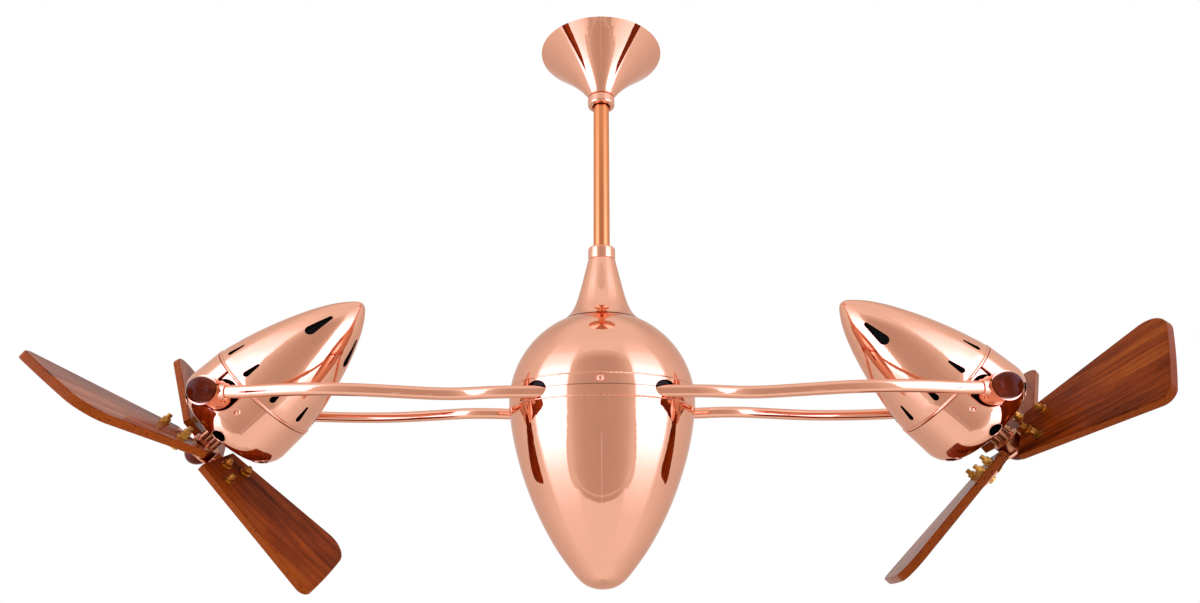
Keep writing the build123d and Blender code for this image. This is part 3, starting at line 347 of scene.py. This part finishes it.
for name, (angle, power) in LAMPS.items():
    ahead = Matrix.Rotation(math.radians(angle), 3, "Z") @ Vector((0, -LAMP_DISTANCE, 0))
    lamp(name, WAIST + ahead, power, LAMP_SIZE)
lamp("overhead", OVERHEAD_PLACE, OVERHEAD_POWER, OVERHEAD_SIZE)
print(len(LAMPS) + 1, "lamps")

# %% The floor
FLOOR_R, FLOOR_SIDES = 6.0, 96
FLOOR_Z = -1.30
FLOOR_FADE = 2.2
FLOOR_GREY = (0.86, 0.86, 0.86, 1)

rim = np.linspace(0, 2 * np.pi, FLOOR_SIDES, endpoint=False)
corners = np.stack([FLOOR_R * np.cos(rim), FLOOR_R * np.sin(rim), np.full_like(rim, FLOOR_Z)], 1)
floor_mesh = bpy.data.meshes.new("floor")
floor_mesh.from_pydata(corners, [], [range(FLOOR_SIDES)])
floor = bpy.data.objects.new("floor", floor_mesh)
floor.visible_glossy = False
floor.visible_camera = False
scene.collection.objects.link(floor)

paint = bpy.data.materials.new("floor_paint")
paint.use_nodes = True
recipe = Recipe(paint.node_tree)
reach = recipe.vector("LENGTH", recipe.object_place(), output="Value")
matt = recipe.add("BsdfDiffuse", None, {"Color": FLOOR_GREY})
glow = recipe.add("Emission", None, {"Color": PAPER_WHITE})
edge = recipe.rise(reach, FLOOR_FADE, FLOOR_R)
surface = recipe.add("MixShader", None, {0: edge, 1: matt, 2: glow})
recipe.add("OutputMaterial", None, {"Surface": surface})
floor_mesh.materials.append(paint)
print("floor", -FLOOR_Z, "m below the ceiling")

# %% [markdown]
# ## Polished copper
# The shells are spun from copper sheet, buffed to a mirror and lacquered. A mirror needs a clean
# base colour and a very low roughness; what makes it look real is how it is not perfect. Sheet
# metal is never quite true, so its reflections swim a little, and the buffing wheel leaves streaks
# and faint haze. Both come from noise: a slow one tips the surface by a fraction of a degree
# through a Bump node, and a finer one, stretched round the axis that the piece was spun on, moves
# the roughness. Where the surface faces the middle of its shell it is rougher, as an inside that
# nobody buffs, and it is darkened almost to black and made less metallic as painted shade. The rod
# and the hubs are a redder and duller copper than the shells.

# %% Helpers for every finish
def new_recipe(name):
    """An empty material and the recipe that fills it."""
    material = bpy.data.materials.new(name)
    material.use_nodes = True
    return material, Recipe(material.node_tree)


def shade(recipe, **sockets):
    """Ends a recipe in the main surface shader."""
    named = {key.replace("_", " "): value for key, value in sockets.items()}
    surface = recipe.add("BsdfPrincipled", None, named)
    recipe.add("OutputMaterial", None, {"Surface": surface})


def own_axes(recipe, centre, along, across):
    """Object coordinates turned so that X runs along a piece and Y across it, from its centre."""
    first = Vector(along).normalized()
    third = first.cross(Vector(across)).normalized()
    turn = Matrix((first, third.cross(first), third))
    place = turn @ -Vector(centre)
    sockets = {"Vector": recipe.object_place(), "Location": place, "Rotation": turn.to_euler()}
    return recipe.add("Mapping", {"vector_type": "POINT"}, sockets)


def facing(recipe, direction):
    """How far the surface faces a direction: the dot product of its normal with it."""
    normal = recipe.add("TexCoord", None, None, "Normal")
    return recipe.vector("DOT_PRODUCT", normal, direction, output="Value")


print("every finish ends in the", bpy.types.ShaderNodeBsdfPrincipled.bl_rna.name)

# %% Copper, for shells, tubes and castings
UP = (0, 0, 1)
COPPER = (0.85, 0.42, 0.285, 1)
COPPER_EDGE = (1.0, 0.86, 0.80, 1)
ROD_COPPER = (0.76, 0.27, 0.11, 1)
HUB_COPPER = (0.46, 0.19, 0.10, 1)
# Near black: the dark line at the seam, and painted shade on the inside of the shells.
DARK_JOINT_AND_SHADE = (0.020, 0.011, 0.007, 1)
MIRROR_HAZE, ROD_HAZE, HUB_HAZE = 0.03, 0.15, 0.18
WAVE_SCALE, WAVE_DEPTH = 28, 0.00003
STREAK_SCALES, STREAK_HAZE = (600, 60, 60), 0.05
CLOUD_SCALE, HAZY_RANGE, CLOUD_HAZE = 45, (0.55, 0.75), 0.03
WORN_RANGE, WORN_TONE = (0.35, 0.8), 0.96
# The dot product of the normal with the way to the middle of the shell.
INWARD_RANGE = (0.10, 0.25)
# Inside a shell the roughness rises, and the metal is made less metallic as part of its painted shade.
INSIDE_HAZE, INSIDE_SHADE_METAL_DROP = 0.6, 0.8
SEAM_HEIGHT, SEAM_HALF, SEAM_SHADE = -0.438, (0.0003, 0.0007), 0.55


def inner_wall(recipe, centre):
    """1 where the surface faces the middle of its shell, and 0 outside and on cut edges."""
    inward = recipe.vector("SUBTRACT", tuple(centre), recipe.object_place())
    return recipe.rise(facing(recipe, recipe.vector("NORMALIZE", inward)), *INWARD_RANGE)


def buffed(recipe, centre, axis, tint, haze):
    """Copper buffed along its own axis: slow waves in the sheet, fine streaks in the gloss."""
    place = own_axes(recipe, centre, axis, (0, 1, 0))
    waves = recipe.noise(place, WAVE_SCALE, 1.0)
    streaks = recipe.grain(place, STREAK_SCALES, 3.0)
    cloud = recipe.noise(place, CLOUD_SCALE, 3.0, 0.6)
    hazy = recipe.rise(cloud, *HAZY_RANGE)
    roughness = haze + streaks ** 3 * STREAK_HAZE + hazy * CLOUD_HAZE
    bump = recipe.add("Bump", None, {"Strength": 1.0, "Distance": WAVE_DEPTH, "Height": waves})
    colour = recipe.mix(recipe.rise(cloud, *WORN_RANGE), tint, toned(tint, WORN_TONE))
    return colour, roughness, bump


def polished_copper(name, centre, axis, tint=COPPER, haze=MIRROR_HAZE):
    """Copper that is bright all over, for tubes, rods and solid pieces."""
    material, recipe = new_recipe(name)
    colour, roughness, bump = buffed(recipe, centre, axis, tint, haze)
    shade(recipe, Base_Color=colour, Metallic=1.0, Roughness=roughness,
          Specular_Tint=COPPER_EDGE, Normal=bump)
    return material


def spun_shell(name, centre, axis, seam_height=None):
    """A copper shell: a mirror outside, dull with painted shade inside, a dark line at its seam."""
    material, recipe = new_recipe(name)
    colour, roughness, bump = buffed(recipe, centre, axis, COPPER, MIRROR_HAZE)
    inside = inner_wall(recipe, centre)
    dark = inside
    if seam_height is not None:
        height = recipe.add("SeparateXYZ", None, {0: recipe.object_place()}).sibling("Z")
        seam = 1 - recipe.rise(abs(height - seam_height), *SEAM_HALF)
        dark = inside + seam * SEAM_SHADE
    # The inside is darkened almost to black as painted shade, and the seam gets a dark line.
    colour = recipe.mix(dark, colour, DARK_JOINT_AND_SHADE)
    shade(recipe, Base_Color=colour, Metallic=1 - inside * INSIDE_SHADE_METAL_DROP,
          Roughness=roughness + inside * INSIDE_HAZE, Specular_IOR_Level=0.08,
          Specular_Tint=COPPER_EDGE, Normal=bump)
    return material


print(f"waves of about {math.degrees(WAVE_SCALE * WAVE_DEPTH):.2f} degrees in the sheet")

# %% The coppers of this fan
copper = {"stem": polished_copper("copper_stem", WAIST, UP),
          "shells": spun_shell("copper_shells", WAIST, UP, SEAM_HEIGHT),
          "tube": polished_copper("copper_tube", WAIST, (1, 0, 0)),
          "rod": polished_copper("copper_rod", WAIST, UP, ROD_COPPER, ROD_HAZE),
          "hub": polished_copper("copper_hub", WAIST, UP, HUB_COPPER, HUB_HAZE)}
for side in HEADS:
    spin = joints[side + "_rotor_spin"]
    copper[side] = polished_copper(f"copper_{side}_rotor", spin["pos_m"], spin["axis"])
    copper[side + "_head"] = spun_shell(f"copper_{side}_head", spin["pos_m"], spin["axis"])
print(len(copper), "coppers")

# %% [markdown]
# ## Lacquered mahogany
# Mahogany is a red brown wood with straight grain: broad bands of lighter and darker wood, fine
# fibres and short dark pores, all running along the blade. Each is a noise stretched along the
# blade's own length, so every blade needs its own axes. They are worked out from the solids: the
# axis of the rotor comes from its joint, and the blade points from that axis to its own middle.
# The lacquer is a thin clear coat on top of the wood. It hardly shows on a face that is looked at
# squarely and shines where the face is seen aslant, so its weight follows that angle. On the
# blade's narrow edges the colour is lighter and more orange than on its faces: a painted highlight
# for the light that the edges catch.

# %% Mahogany, with its grain along each blade
# The edge tone is a painted highlight for the narrow edges; on the caps it is the main tone.
WOOD_TONES = {"dark": rgb(62, 16, 2), "main": rgb(124, 50, 10), "light": rgb(162, 80, 22),
              "edge": rgb(140, 64, 20)}
CAP_TONES = {"dark": rgb(40, 9, 2), "main": rgb(92, 26, 7), "light": rgb(130, 48, 16),
             "edge": rgb(92, 26, 7)}
TONE_PLACES = {"dark": 0.1, "main": 0.5, "light": 0.95}
# Nearly all values of a noise lie in this range.
NOISE_RANGE = (0.3, 0.7)
# Values to a metre along the grain, across it and through the wood.
BEND_SCALES, BAND_SCALES, FIGURE_SCALES = (6, 14, 14), (3, 70, 40), (9, 24, 24)
FIBRE_SCALES, PORE_SCALES = (14, 700, 300), (90, 1900, 900)
BEND_SHIFT = 0.02
BAND_SHARE, FIBRE_SHARE, FIGURE_SHARE = 0.38, 0.27, 0.35
PORE_RANGE, PORE_SHARE, PORE_TONE = (0.62, 0.70), 0.75, 0.35
# The dot product of the normal with the thin way of the piece, which is near 1 on its two faces.
FACE_RANGE, EDGE_HIGHLIGHT_SHARE = (0.35, 0.70), 0.8
WOOD_ROUGHNESS, BAND_GLOSS, PORE_ROUGHNESS = 0.42, 0.1, 0.15
FIBRE_HEIGHT, RELIEF = 0.4, 0.00008
# The lacquer's weight, and the share of it that shows on a face looked at squarely.
BLADE_LACQUER, CAP_LACQUER = (0.4, 0.15), (1.0, 0.5)
ASLANT = (0.45, 0.85)


def middle(node):
    """The mean of a node's vertices."""
    mesh = nodes[node].data
    places = np.empty(len(mesh.vertices) * 3)
    mesh.vertices.foreach_get("co", places)
    return places.reshape(-1, 3).mean(0)


def mahogany(name, centre, along, across, tones, lacquer, seed=0.0):
    """Lacquered wood: broad bands, fibres and pores as noises stretched along the piece."""
    material, recipe = new_recipe(name)
    place = own_axes(recipe, centre, along, across)
    shifted = recipe.vector("ADD", place, (seed, seed, 0))
    bend = recipe.grain(shifted, BEND_SCALES)
    side_shift = recipe.add("CombineXYZ", None, {"Y": (bend - 0.5) * BEND_SHIFT})
    flowing = recipe.vector("ADD", shifted, side_shift)
    bands = recipe.rise(recipe.grain(flowing, BAND_SCALES, 3.0, 0.55), *NOISE_RANGE)
    fibres = recipe.grain(flowing, FIBRE_SCALES, 3.0, 0.6)
    pores = recipe.rise(recipe.grain(flowing, PORE_SCALES, 1.0), *PORE_RANGE)
    figure = recipe.rise(recipe.grain(flowing, FIGURE_SCALES), *NOISE_RANGE)
    tone = bands * BAND_SHARE + recipe.rise(fibres, *NOISE_RANGE) * FIBRE_SHARE
    tone = tone + figure * FIGURE_SHARE
    stops = [(share, tones[part][:3]) for part, share in TONE_PLACES.items()]
    colour = recipe.add("ValToRGB", {"stops": stops}, {"Fac": tone})
    face = Vector(along).normalized().cross(Vector(across).normalized())
    narrow = 1 - recipe.rise(abs(facing(recipe, tuple(face))), *FACE_RANGE)
    # Painted highlight: the narrow edges get the lighter, more orange edge tone.
    colour = recipe.mix(narrow * EDGE_HIGHLIGHT_SHARE, colour, tones["edge"])
    colour = recipe.mix(pores * PORE_SHARE, colour, toned(tones["dark"], PORE_TONE))
    height = fibres * FIBRE_HEIGHT - pores
    bump = recipe.add("Bump", None, {"Strength": 0.35, "Distance": RELIEF, "Height": height})
    roughness = WOOD_ROUGHNESS - bands * BAND_GLOSS + pores * PORE_ROUGHNESS
    weight, squarely = lacquer
    aslant = recipe.rise(recipe.add("LayerWeight", None, {"Blend": 0.5}, "Facing"), *ASLANT)
    coat = weight * (squarely + aslant * (1 - squarely))
    shade(recipe, Base_Color=colour, Roughness=roughness, Specular_IOR_Level=0.02,
          Coat_Weight=coat, Coat_IOR=1.25, Coat_Roughness=0.07, Normal=bump)
    return material


print("lacquer weighs", BLADE_LACQUER[0], "on the blades and", CAP_LACQUER[0], "on the caps")

# %% Wood for the blades and the caps
# The left rotor's wood is a little paler, and each blade is cut from another place in the board.
PALENESS = {"left": 1.25, "right": 1.0}
BLADES = 3
BOARD_STEP = 0.37
PITCH = math.radians(12)

blade_wood = {}
for side in HEADS:
    tones = {part: toned(tone, PALENESS[side]) for part, tone in WOOD_TONES.items()}
    spin = joints[side + "_rotor_spin"]
    pivot, axis = Vector(spin["pos_m"]), Vector(spin["axis"]).normalized()
    for number in range(1, BLADES + 1):
        name = f"{side}_blade_{number}"
        arm = Vector(middle(name)) - pivot
        outward = arm - arm.dot(axis) * axis
        across = axis.cross(outward).normalized() * math.cos(PITCH) + axis * math.sin(PITCH)
        blade_wood[name] = mahogany("mahogany_" + name, pivot, outward, across, tones,
                                    BLADE_LACQUER, BOARD_STEP * number)
cap_wood = mahogany("mahogany_caps", WAIST, (0, 1, 0), UP, CAP_TONES, CAP_LACQUER)
print("grain runs along", len(blade_wood), "blades")

# %% [markdown]
# ## Small metal, and painted shade inside the shells
# Bolts and nuts are turned brass, brackets and bearings are zinc plated steel, and the motors are
# black. The castings that carry the arms and the motors, and the clamps on the arms, sit in the
# shade inside the shells; they are made near black with a matt finish, as painted shade, so that
# they don't shine through the holes. They are small or half hidden, but each still has the mark of
# how it was made: fine turning lines, the spangle of zinc, the orange peel of paint.

# %% Brass, steel, castings, black enamel and plastic
GRAINS_PER_CLOUD = 12
METAL_RANGE, DARK_HAZE = (0.35, 0.65), 0.15
PEEL_RANGE, PEEL_TONE, PEEL_DEPTH, PEEL_HAZE = (0.4, 0.7), 1.5, 0.0001, 0.1


def turned_metal(name, tint, dark, roughness, grain_scale, grain_depth):
    """Metal with a fine grain: noise darkens it, dulls it and roughens its surface together."""
    material, recipe = new_recipe(name)
    place = recipe.object_place()
    grain = recipe.noise(place, grain_scale, 4.0, 0.6)
    cloud = recipe.noise(place, grain_scale / GRAINS_PER_CLOUD)
    tone = recipe.rise(grain * 0.5 + cloud * 0.5, *METAL_RANGE)
    colour = recipe.mix(tone, dark, tint)
    bump = recipe.add("Bump", None, {"Strength": 0.6, "Distance": grain_depth, "Height": grain})
    haze = (1 - tone) * DARK_HAZE
    shade(recipe, Base_Color=colour, Metallic=1.0, Roughness=roughness + haze, Normal=bump)
    return material


def matt_black(name, tint, roughness, grain_scale):
    """Enamel, plastic or painted shade: a dark even colour with a fine orange peel."""
    material, recipe = new_recipe(name)
    peel = recipe.noise(recipe.object_place(), grain_scale, 3.0)
    bump = recipe.add("Bump", None, {"Strength": 0.5, "Distance": PEEL_DEPTH, "Height": peel})
    colour = recipe.mix(recipe.rise(peel, *PEEL_RANGE), tint, toned(tint, PEEL_TONE))
    shade(recipe, Base_Color=colour, Roughness=roughness + peel * PEEL_HAZE,
          Specular_IOR_Level=0.12, Normal=bump)
    return material


finishes = {
    "brass": turned_metal("brass", (0.75, 0.40, 0.08, 1), (0.30, 0.13, 0.02, 1),
                          roughness=0.22, grain_scale=900, grain_depth=0.00002),
    "steel": turned_metal("zinc_steel", (0.62, 0.62, 0.63, 1), (0.42, 0.42, 0.44, 1),
                          roughness=0.28, grain_scale=700, grain_depth=0.00002),
    "casting": turned_metal("cast_aluminium", (0.30, 0.30, 0.31, 1), (0.16, 0.16, 0.17, 1),
                            roughness=0.46, grain_scale=500, grain_depth=0.00012),
    "motor_black": matt_black("motor_enamel", (0.02, 0.02, 0.02, 1), 0.38, 1200),
    "plastic": matt_black("moulded_plastic", (0.03, 0.03, 0.03, 1), 0.5, 2500),
}
# Near black for the frames and clamps inside the shells: painted shade, so they stay dark through the holes.
inside_shade_black = matt_black("frame_painted_shade", (0.007, 0.006, 0.006, 1), 0.45, 900)
# A black sheet inside each nose, standing in for the shade there.
nose_shade_black = matt_black("nose_shade_matt", (0.003, 0.003, 0.003, 1), 0.9, 2500)
print(sorted(finishes))

# %% Give every solid its finish
TUBES = ("rear_right_arm", "rear_left_arm", "front_right_arm", "front_left_arm")
SHELLS = ("dome", "bullet")
HEAD_SHELLS = ("cowl", "cup")
# Pieces inside the shells that take the near black painted shade instead of their own finish.
SHADED_INSIDE = ("arm_hub", "arm_clamps", "clamp_screws", "left_motor_frame", "right_motor_frame")


def copper_for(name):
    """Which copper a node takes, by the part of the fan that it belongs to."""
    if name == "downrod":
        return copper["rod"]
    if name in TUBES:
        return copper["tube"]
    if name in SHELLS:
        return copper["shells"]
    side, _, part = name.partition("_")
    if part == "hub":
        return copper["hub"]
    return copper[side + "_head"] if part in HEAD_SHELLS else copper.get(side, copper["stem"])


slots = {part["node"]: part["material_slot"] for part in frame["record"]["subparts"]}
for name, node in nodes.items():
    slot = slots[name]
    if slot == "polished_copper":
        finish = copper_for(name)
    elif slot == "mahogany":
        finish = blade_wood.get(name, cap_wood)
    else:
        finish = inside_shade_black if name in SHADED_INSIDE else finishes[slot]
    node.data.materials.clear()
    node.data.materials.append(finish)
print(len(nodes), "solids have a finish")

# %% [markdown]
# ## Rolled edges on the cups
# A hole in thin sheet is weak and sharp, so the presser rolls its edge over into a small round bead.
# On the cups such a bead runs round the keyhole of each pivot and round each hole of the rim. A bead
# is a thin round tube along a path, so one function sweeps a circle along any path: at each point of
# the path it needs the way of the path and one direction that points out of the sheet.

# %% A tube along a path
MM = 0.001


def swept_tube(path, out, radius, sides=8, closed=True):
    """point = path(t) + radius (cos a out(t) + sin a flank(t)), with flank = way x out."""
    way = np.roll(path, -1, 0) - np.roll(path, 1, 0) if closed else np.gradient(path, axis=0)
    out = out / np.linalg.norm(out, axis=1, keepdims=True)
    flank = np.cross(way, out)
    flank /= np.linalg.norm(flank, axis=1, keepdims=True)
    turn = (np.arange(sides) * 2 * np.pi / sides)[None, :, None]
    points = path[:, None] + radius * (np.cos(turn) * out[:, None] + np.sin(turn) * flank[:, None])
    row = np.arange(len(path) - (not closed))[:, None]
    column = np.arange(sides)[None, :]
    here, after = row * sides, (row + 1) % len(path) * sides
    beside = (column + 1) % sides
    quads = np.stack([here + column, here + beside, after + beside, after + column], -1)
    faces = quads.reshape(-1, 4).tolist()
    if not closed:
        last = len(path) * sides
        faces += [list(range(sides))[::-1], list(range(last - sides, last))]
    return points.reshape(-1, 3), faces


def piece(name, body, parts, finish):
    """One new piece of a body, from the points and faces of its parts."""
    starts = np.cumsum([0] + [len(points) for points, _ in parts])
    faces = [[corner + int(start) for corner in face]
             for start, (_, some) in zip(starts, parts) for face in some]
    mesh = bpy.data.meshes.new(name)
    mesh.from_pydata(np.concatenate([points for points, _ in parts]), [], faces)
    mesh.materials.append(finish)
    mesh.shade_smooth()
    made = bpy.data.objects.new(name, mesh)
    scene.collection.objects.link(made)
    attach(made, body)
    return made


def head_axes(side):
    """The pivot of a head and its three directions: X and Y across it, Z out to the blades."""
    spin = joints[side + "_rotor_spin"]
    ahead = np.array(spin["axis"]) / np.linalg.norm(spin["axis"])
    across = np.cross((0, 1, 0), ahead)
    return np.array(spin["pos_m"]), np.stack([across, np.cross(ahead, across), ahead])


def placed(part, side):
    """A part in a head's own millimetres, moved to its place in the world."""
    origin, axes = head_axes(side)
    return origin + part[0] * MM @ axes, part[1]


print("a bead has", len(swept_tube(np.eye(3), np.ones((3, 3)), 1)[1]), "faces to three steps of its path")

# %% Beads round the keyholes and the rim holes
# Millimetres of a head, whose Z runs from its pivot out to the blades, and degrees round that Z.
CUP_REAR, CUP_REAR_R = -19.6, 63.2
CUP_WAIST, CUP_WAIST_R = 13.2, 64.6
SHOULDER_R = 22.9
KEYHOLE_R, KEYHOLE_SETBACK = 16.2, 1.2
KEYHOLE_BEAD, KEYHOLE_BEAD_SHIFT = 0.7, 0.6
ARCH_POINTS, LEG_POINTS = 49, 14
RIM_HOLE_R, RIM_HOLE_LEAN, RIM_HOLES = 7.3, math.radians(43.5), 6
RIM_BEAD, RIM_BEAD_SHIFT = 0.55, 0.3
RIM_POINTS, RIM_ROUNDS = 40, 4
RIM_CLOCK = {"left": 3.0, "right": -6.5}


def cup_flank(height):
    """The cup's outer radius: straight from its rear edge to its waist, then round its shoulder."""
    flank = CUP_REAR_R + (CUP_WAIST_R - CUP_REAR_R) * (height - CUP_REAR) / (CUP_WAIST - CUP_REAR)
    above = np.clip(height - CUP_WAIST, 0, SHOULDER_R)
    shoulder = CUP_WAIST_R - SHOULDER_R + np.sqrt(SHOULDER_R ** 2 - above ** 2)
    return np.where(height < CUP_WAIST, flank, shoulder)


def keyhole_bead(end):
    """x and z run up one side, over a half circle and down the other; y is the cup's surface there."""
    radius = KEYHOLE_R + KEYHOLE_BEAD_SHIFT
    over = np.linspace(np.pi, 0, ARCH_POINTS)
    leg = np.linspace(CUP_REAR, -KEYHOLE_SETBACK, LEG_POINTS, endpoint=False)
    x = np.concatenate([np.full_like(leg, -radius), radius * np.cos(over), np.full_like(leg, radius)])
    z = np.concatenate([leg, radius * np.sin(over) - KEYHOLE_SETBACK, leg[::-1]])
    y = end * np.sqrt(cup_flank(z) ** 2 - x ** 2)
    path = np.stack([x, y, z], 1)
    return swept_tube(path, path * (1, 1, 0), KEYHOLE_BEAD, closed=False)


def rim_bead(clock):
    """A circle round the hole's axis, pushed along that axis onto the shoulder in a few rounds."""
    ring_r = CUP_WAIST_R - SHOULDER_R
    turn = np.linspace(0, 2 * np.pi, RIM_POINTS, endpoint=False)[:, None]
    radial = np.array([math.cos(clock), math.sin(clock), 0.0])
    around, up = np.array([-radial[1], radial[0], 0.0]), np.array([0.0, 0.0, 1.0])
    normal = radial * math.cos(RIM_HOLE_LEAN) + up * math.sin(RIM_HOLE_LEAN)
    level = up * math.cos(RIM_HOLE_LEAN) - radial * math.sin(RIM_HOLE_LEAN)
    centre = radial * ring_r + up * CUP_WAIST + normal * SHOULDER_R
    path = centre + (RIM_HOLE_R + RIM_BEAD_SHIFT) * (np.cos(turn) * around + np.sin(turn) * level)
    for _ in range(RIM_ROUNDS):
        flat = path * (1, 1, 0)
        core = flat / np.linalg.norm(flat, axis=1, keepdims=True) * ring_r + up * CUP_WAIST
        away = path - core
        gap = SHOULDER_R - np.linalg.norm(away, axis=1, keepdims=True)
        path = path + gap * normal
    return swept_tube(path, away, RIM_BEAD)


for side in HEADS:
    clocks = [math.radians(RIM_CLOCK[side] + 360 / RIM_HOLES * k) for k in range(RIM_HOLES)]
    shapes = [keyhole_bead(end) for end in (-1, 1)] + [rim_bead(clock) for clock in clocks]
    beads = [placed(shape, side) for shape in shapes]
    piece(side + "_cup_beads", side + "_head", beads, copper[side])
print(len(beads), "beads on each cup")

# %% [markdown]
# ## Painted shade behind the nose vents
# The four large vents near the nose lie opposite each other, so a bare shell could be looked right
# through. A thin black sheet inside the nose is painted shade: it keeps the vents dark, as the shade
# inside the nose would, and stands clear of the shell round its edge. It is a surface of revolution
# that follows the shell's own curve a little inside it.

# %% Black sheets of painted shade in the noses
# Millimetres of a head, and shares of its cowl's length from its widest place to its tip.
COWL_R, COWL_LENGTH, COWL_SHOULDER = 61.9, 139.2, 22.8
COWL_POWER, COWL_ROOT = 1.25, 0.64
SHADE_SHEET_REACH, SHADE_SHEET_CLEAR = (0.46, 0.93), 4.0
SHADE_SHEET_RINGS, SHADE_SHEET_SIDES = 20, 48


def nose_shade_sheet():
    """r = R (1 - s^p)^q - clearance over the share s of the cowl's length, with two flat ends."""
    share = np.linspace(*SHADE_SHEET_REACH, SHADE_SHEET_RINGS)
    radius = (COWL_R * (1 - share ** COWL_POWER) ** COWL_ROOT - SHADE_SHEET_CLEAR)[:, None]
    turn = np.linspace(0, 2 * np.pi, SHADE_SHEET_SIDES, endpoint=False)
    height = -COWL_SHOULDER - COWL_LENGTH * share[:, None]
    height = np.broadcast_to(height, (SHADE_SHEET_RINGS, SHADE_SHEET_SIDES))
    points = np.stack([radius * np.cos(turn), radius * np.sin(turn), height], -1)
    here = np.arange(SHADE_SHEET_RINGS - 1)[:, None] * SHADE_SHEET_SIDES
    after = here + SHADE_SHEET_SIDES
    column = np.arange(SHADE_SHEET_SIDES)[None, :]
    beside = (column + 1) % SHADE_SHEET_SIDES
    quads = np.stack([here + column, after + column, after + beside, here + beside], -1)
    last = SHADE_SHEET_RINGS * SHADE_SHEET_SIDES
    ends = [list(range(SHADE_SHEET_SIDES)), list(range(last - SHADE_SHEET_SIDES, last))[::-1]]
    return points.reshape(-1, 3), quads.reshape(-1, 4).tolist() + ends


for side in HEADS:
    shape = placed(nose_shade_sheet(), side)
    shade_sheet = piece(side + "_nose_shade_sheet", side + "_head", [shape], nose_shade_black)
print("each shield has", len(shade_sheet.data.polygons), "faces")

# %% [markdown]
# ## Threads
# The tails of the brass bolts stick out behind the nuts of each blade, and their threads catch the
# light as a row of fine rings. A thread is a triangular ridge along a helix, so the same sweep makes
# it, with three sides and a path that climbs as it turns.

# %% Threads on the bolt tails
# Millimetres along and across a blade, heights from its plane, and degrees round the rotor's axis.
BOLT_PLACES = ((31, 0), (48, 17), (48, -17))
BLADE_CLOCK = {"left": 48.5, "right": 6.0}
BLADE_PLANE = 63.5
TAIL_START, TAIL_END = -9.2, -13.2
BOLT_R, THREAD_RIDGE, THREAD_PITCH = 2.5, 0.34, 0.8
RIDGE_SIDES, STEPS_PER_TURN = 3, 16


def bolt_thread(place, clock):
    """path = bolt axis + r (cos t, sin t) + pitch t / 2 pi, in the blade's pitched frame."""
    turns = (TAIL_START - TAIL_END) / THREAD_PITCH
    t = np.linspace(0, 2 * np.pi * turns, int(turns * STEPS_PER_TURN) + 1)
    radial = np.stack([np.cos(t), np.sin(t), np.zeros_like(t)], 1)
    climb = TAIL_END + THREAD_PITCH * t / (2 * np.pi)
    along = np.stack([np.full_like(t, place[0]), np.full_like(t, place[1]), climb], 1)
    path = along + radial * BOLT_R
    points, faces = swept_tube(path, radial, THREAD_RIDGE, RIDGE_SIDES, closed=False)
    pitch = np.array(Matrix.Rotation(PITCH, 3, "X"))
    clocked = np.array(Matrix.Rotation(math.radians(clock), 3, "Z"))
    return points @ (clocked @ pitch).T + (0, 0, BLADE_PLANE), faces


for side in HEADS:
    clocks = [BLADE_CLOCK[side] + 360 / BLADES * k for k in range(BLADES)]
    threads = [placed(bolt_thread(spot, clock), side) for clock in clocks for spot in BOLT_PLACES]
    piece(side + "_bolt_threads", side + "_rotor", threads, finishes["brass"])
print(len(threads), "threads on each rotor")
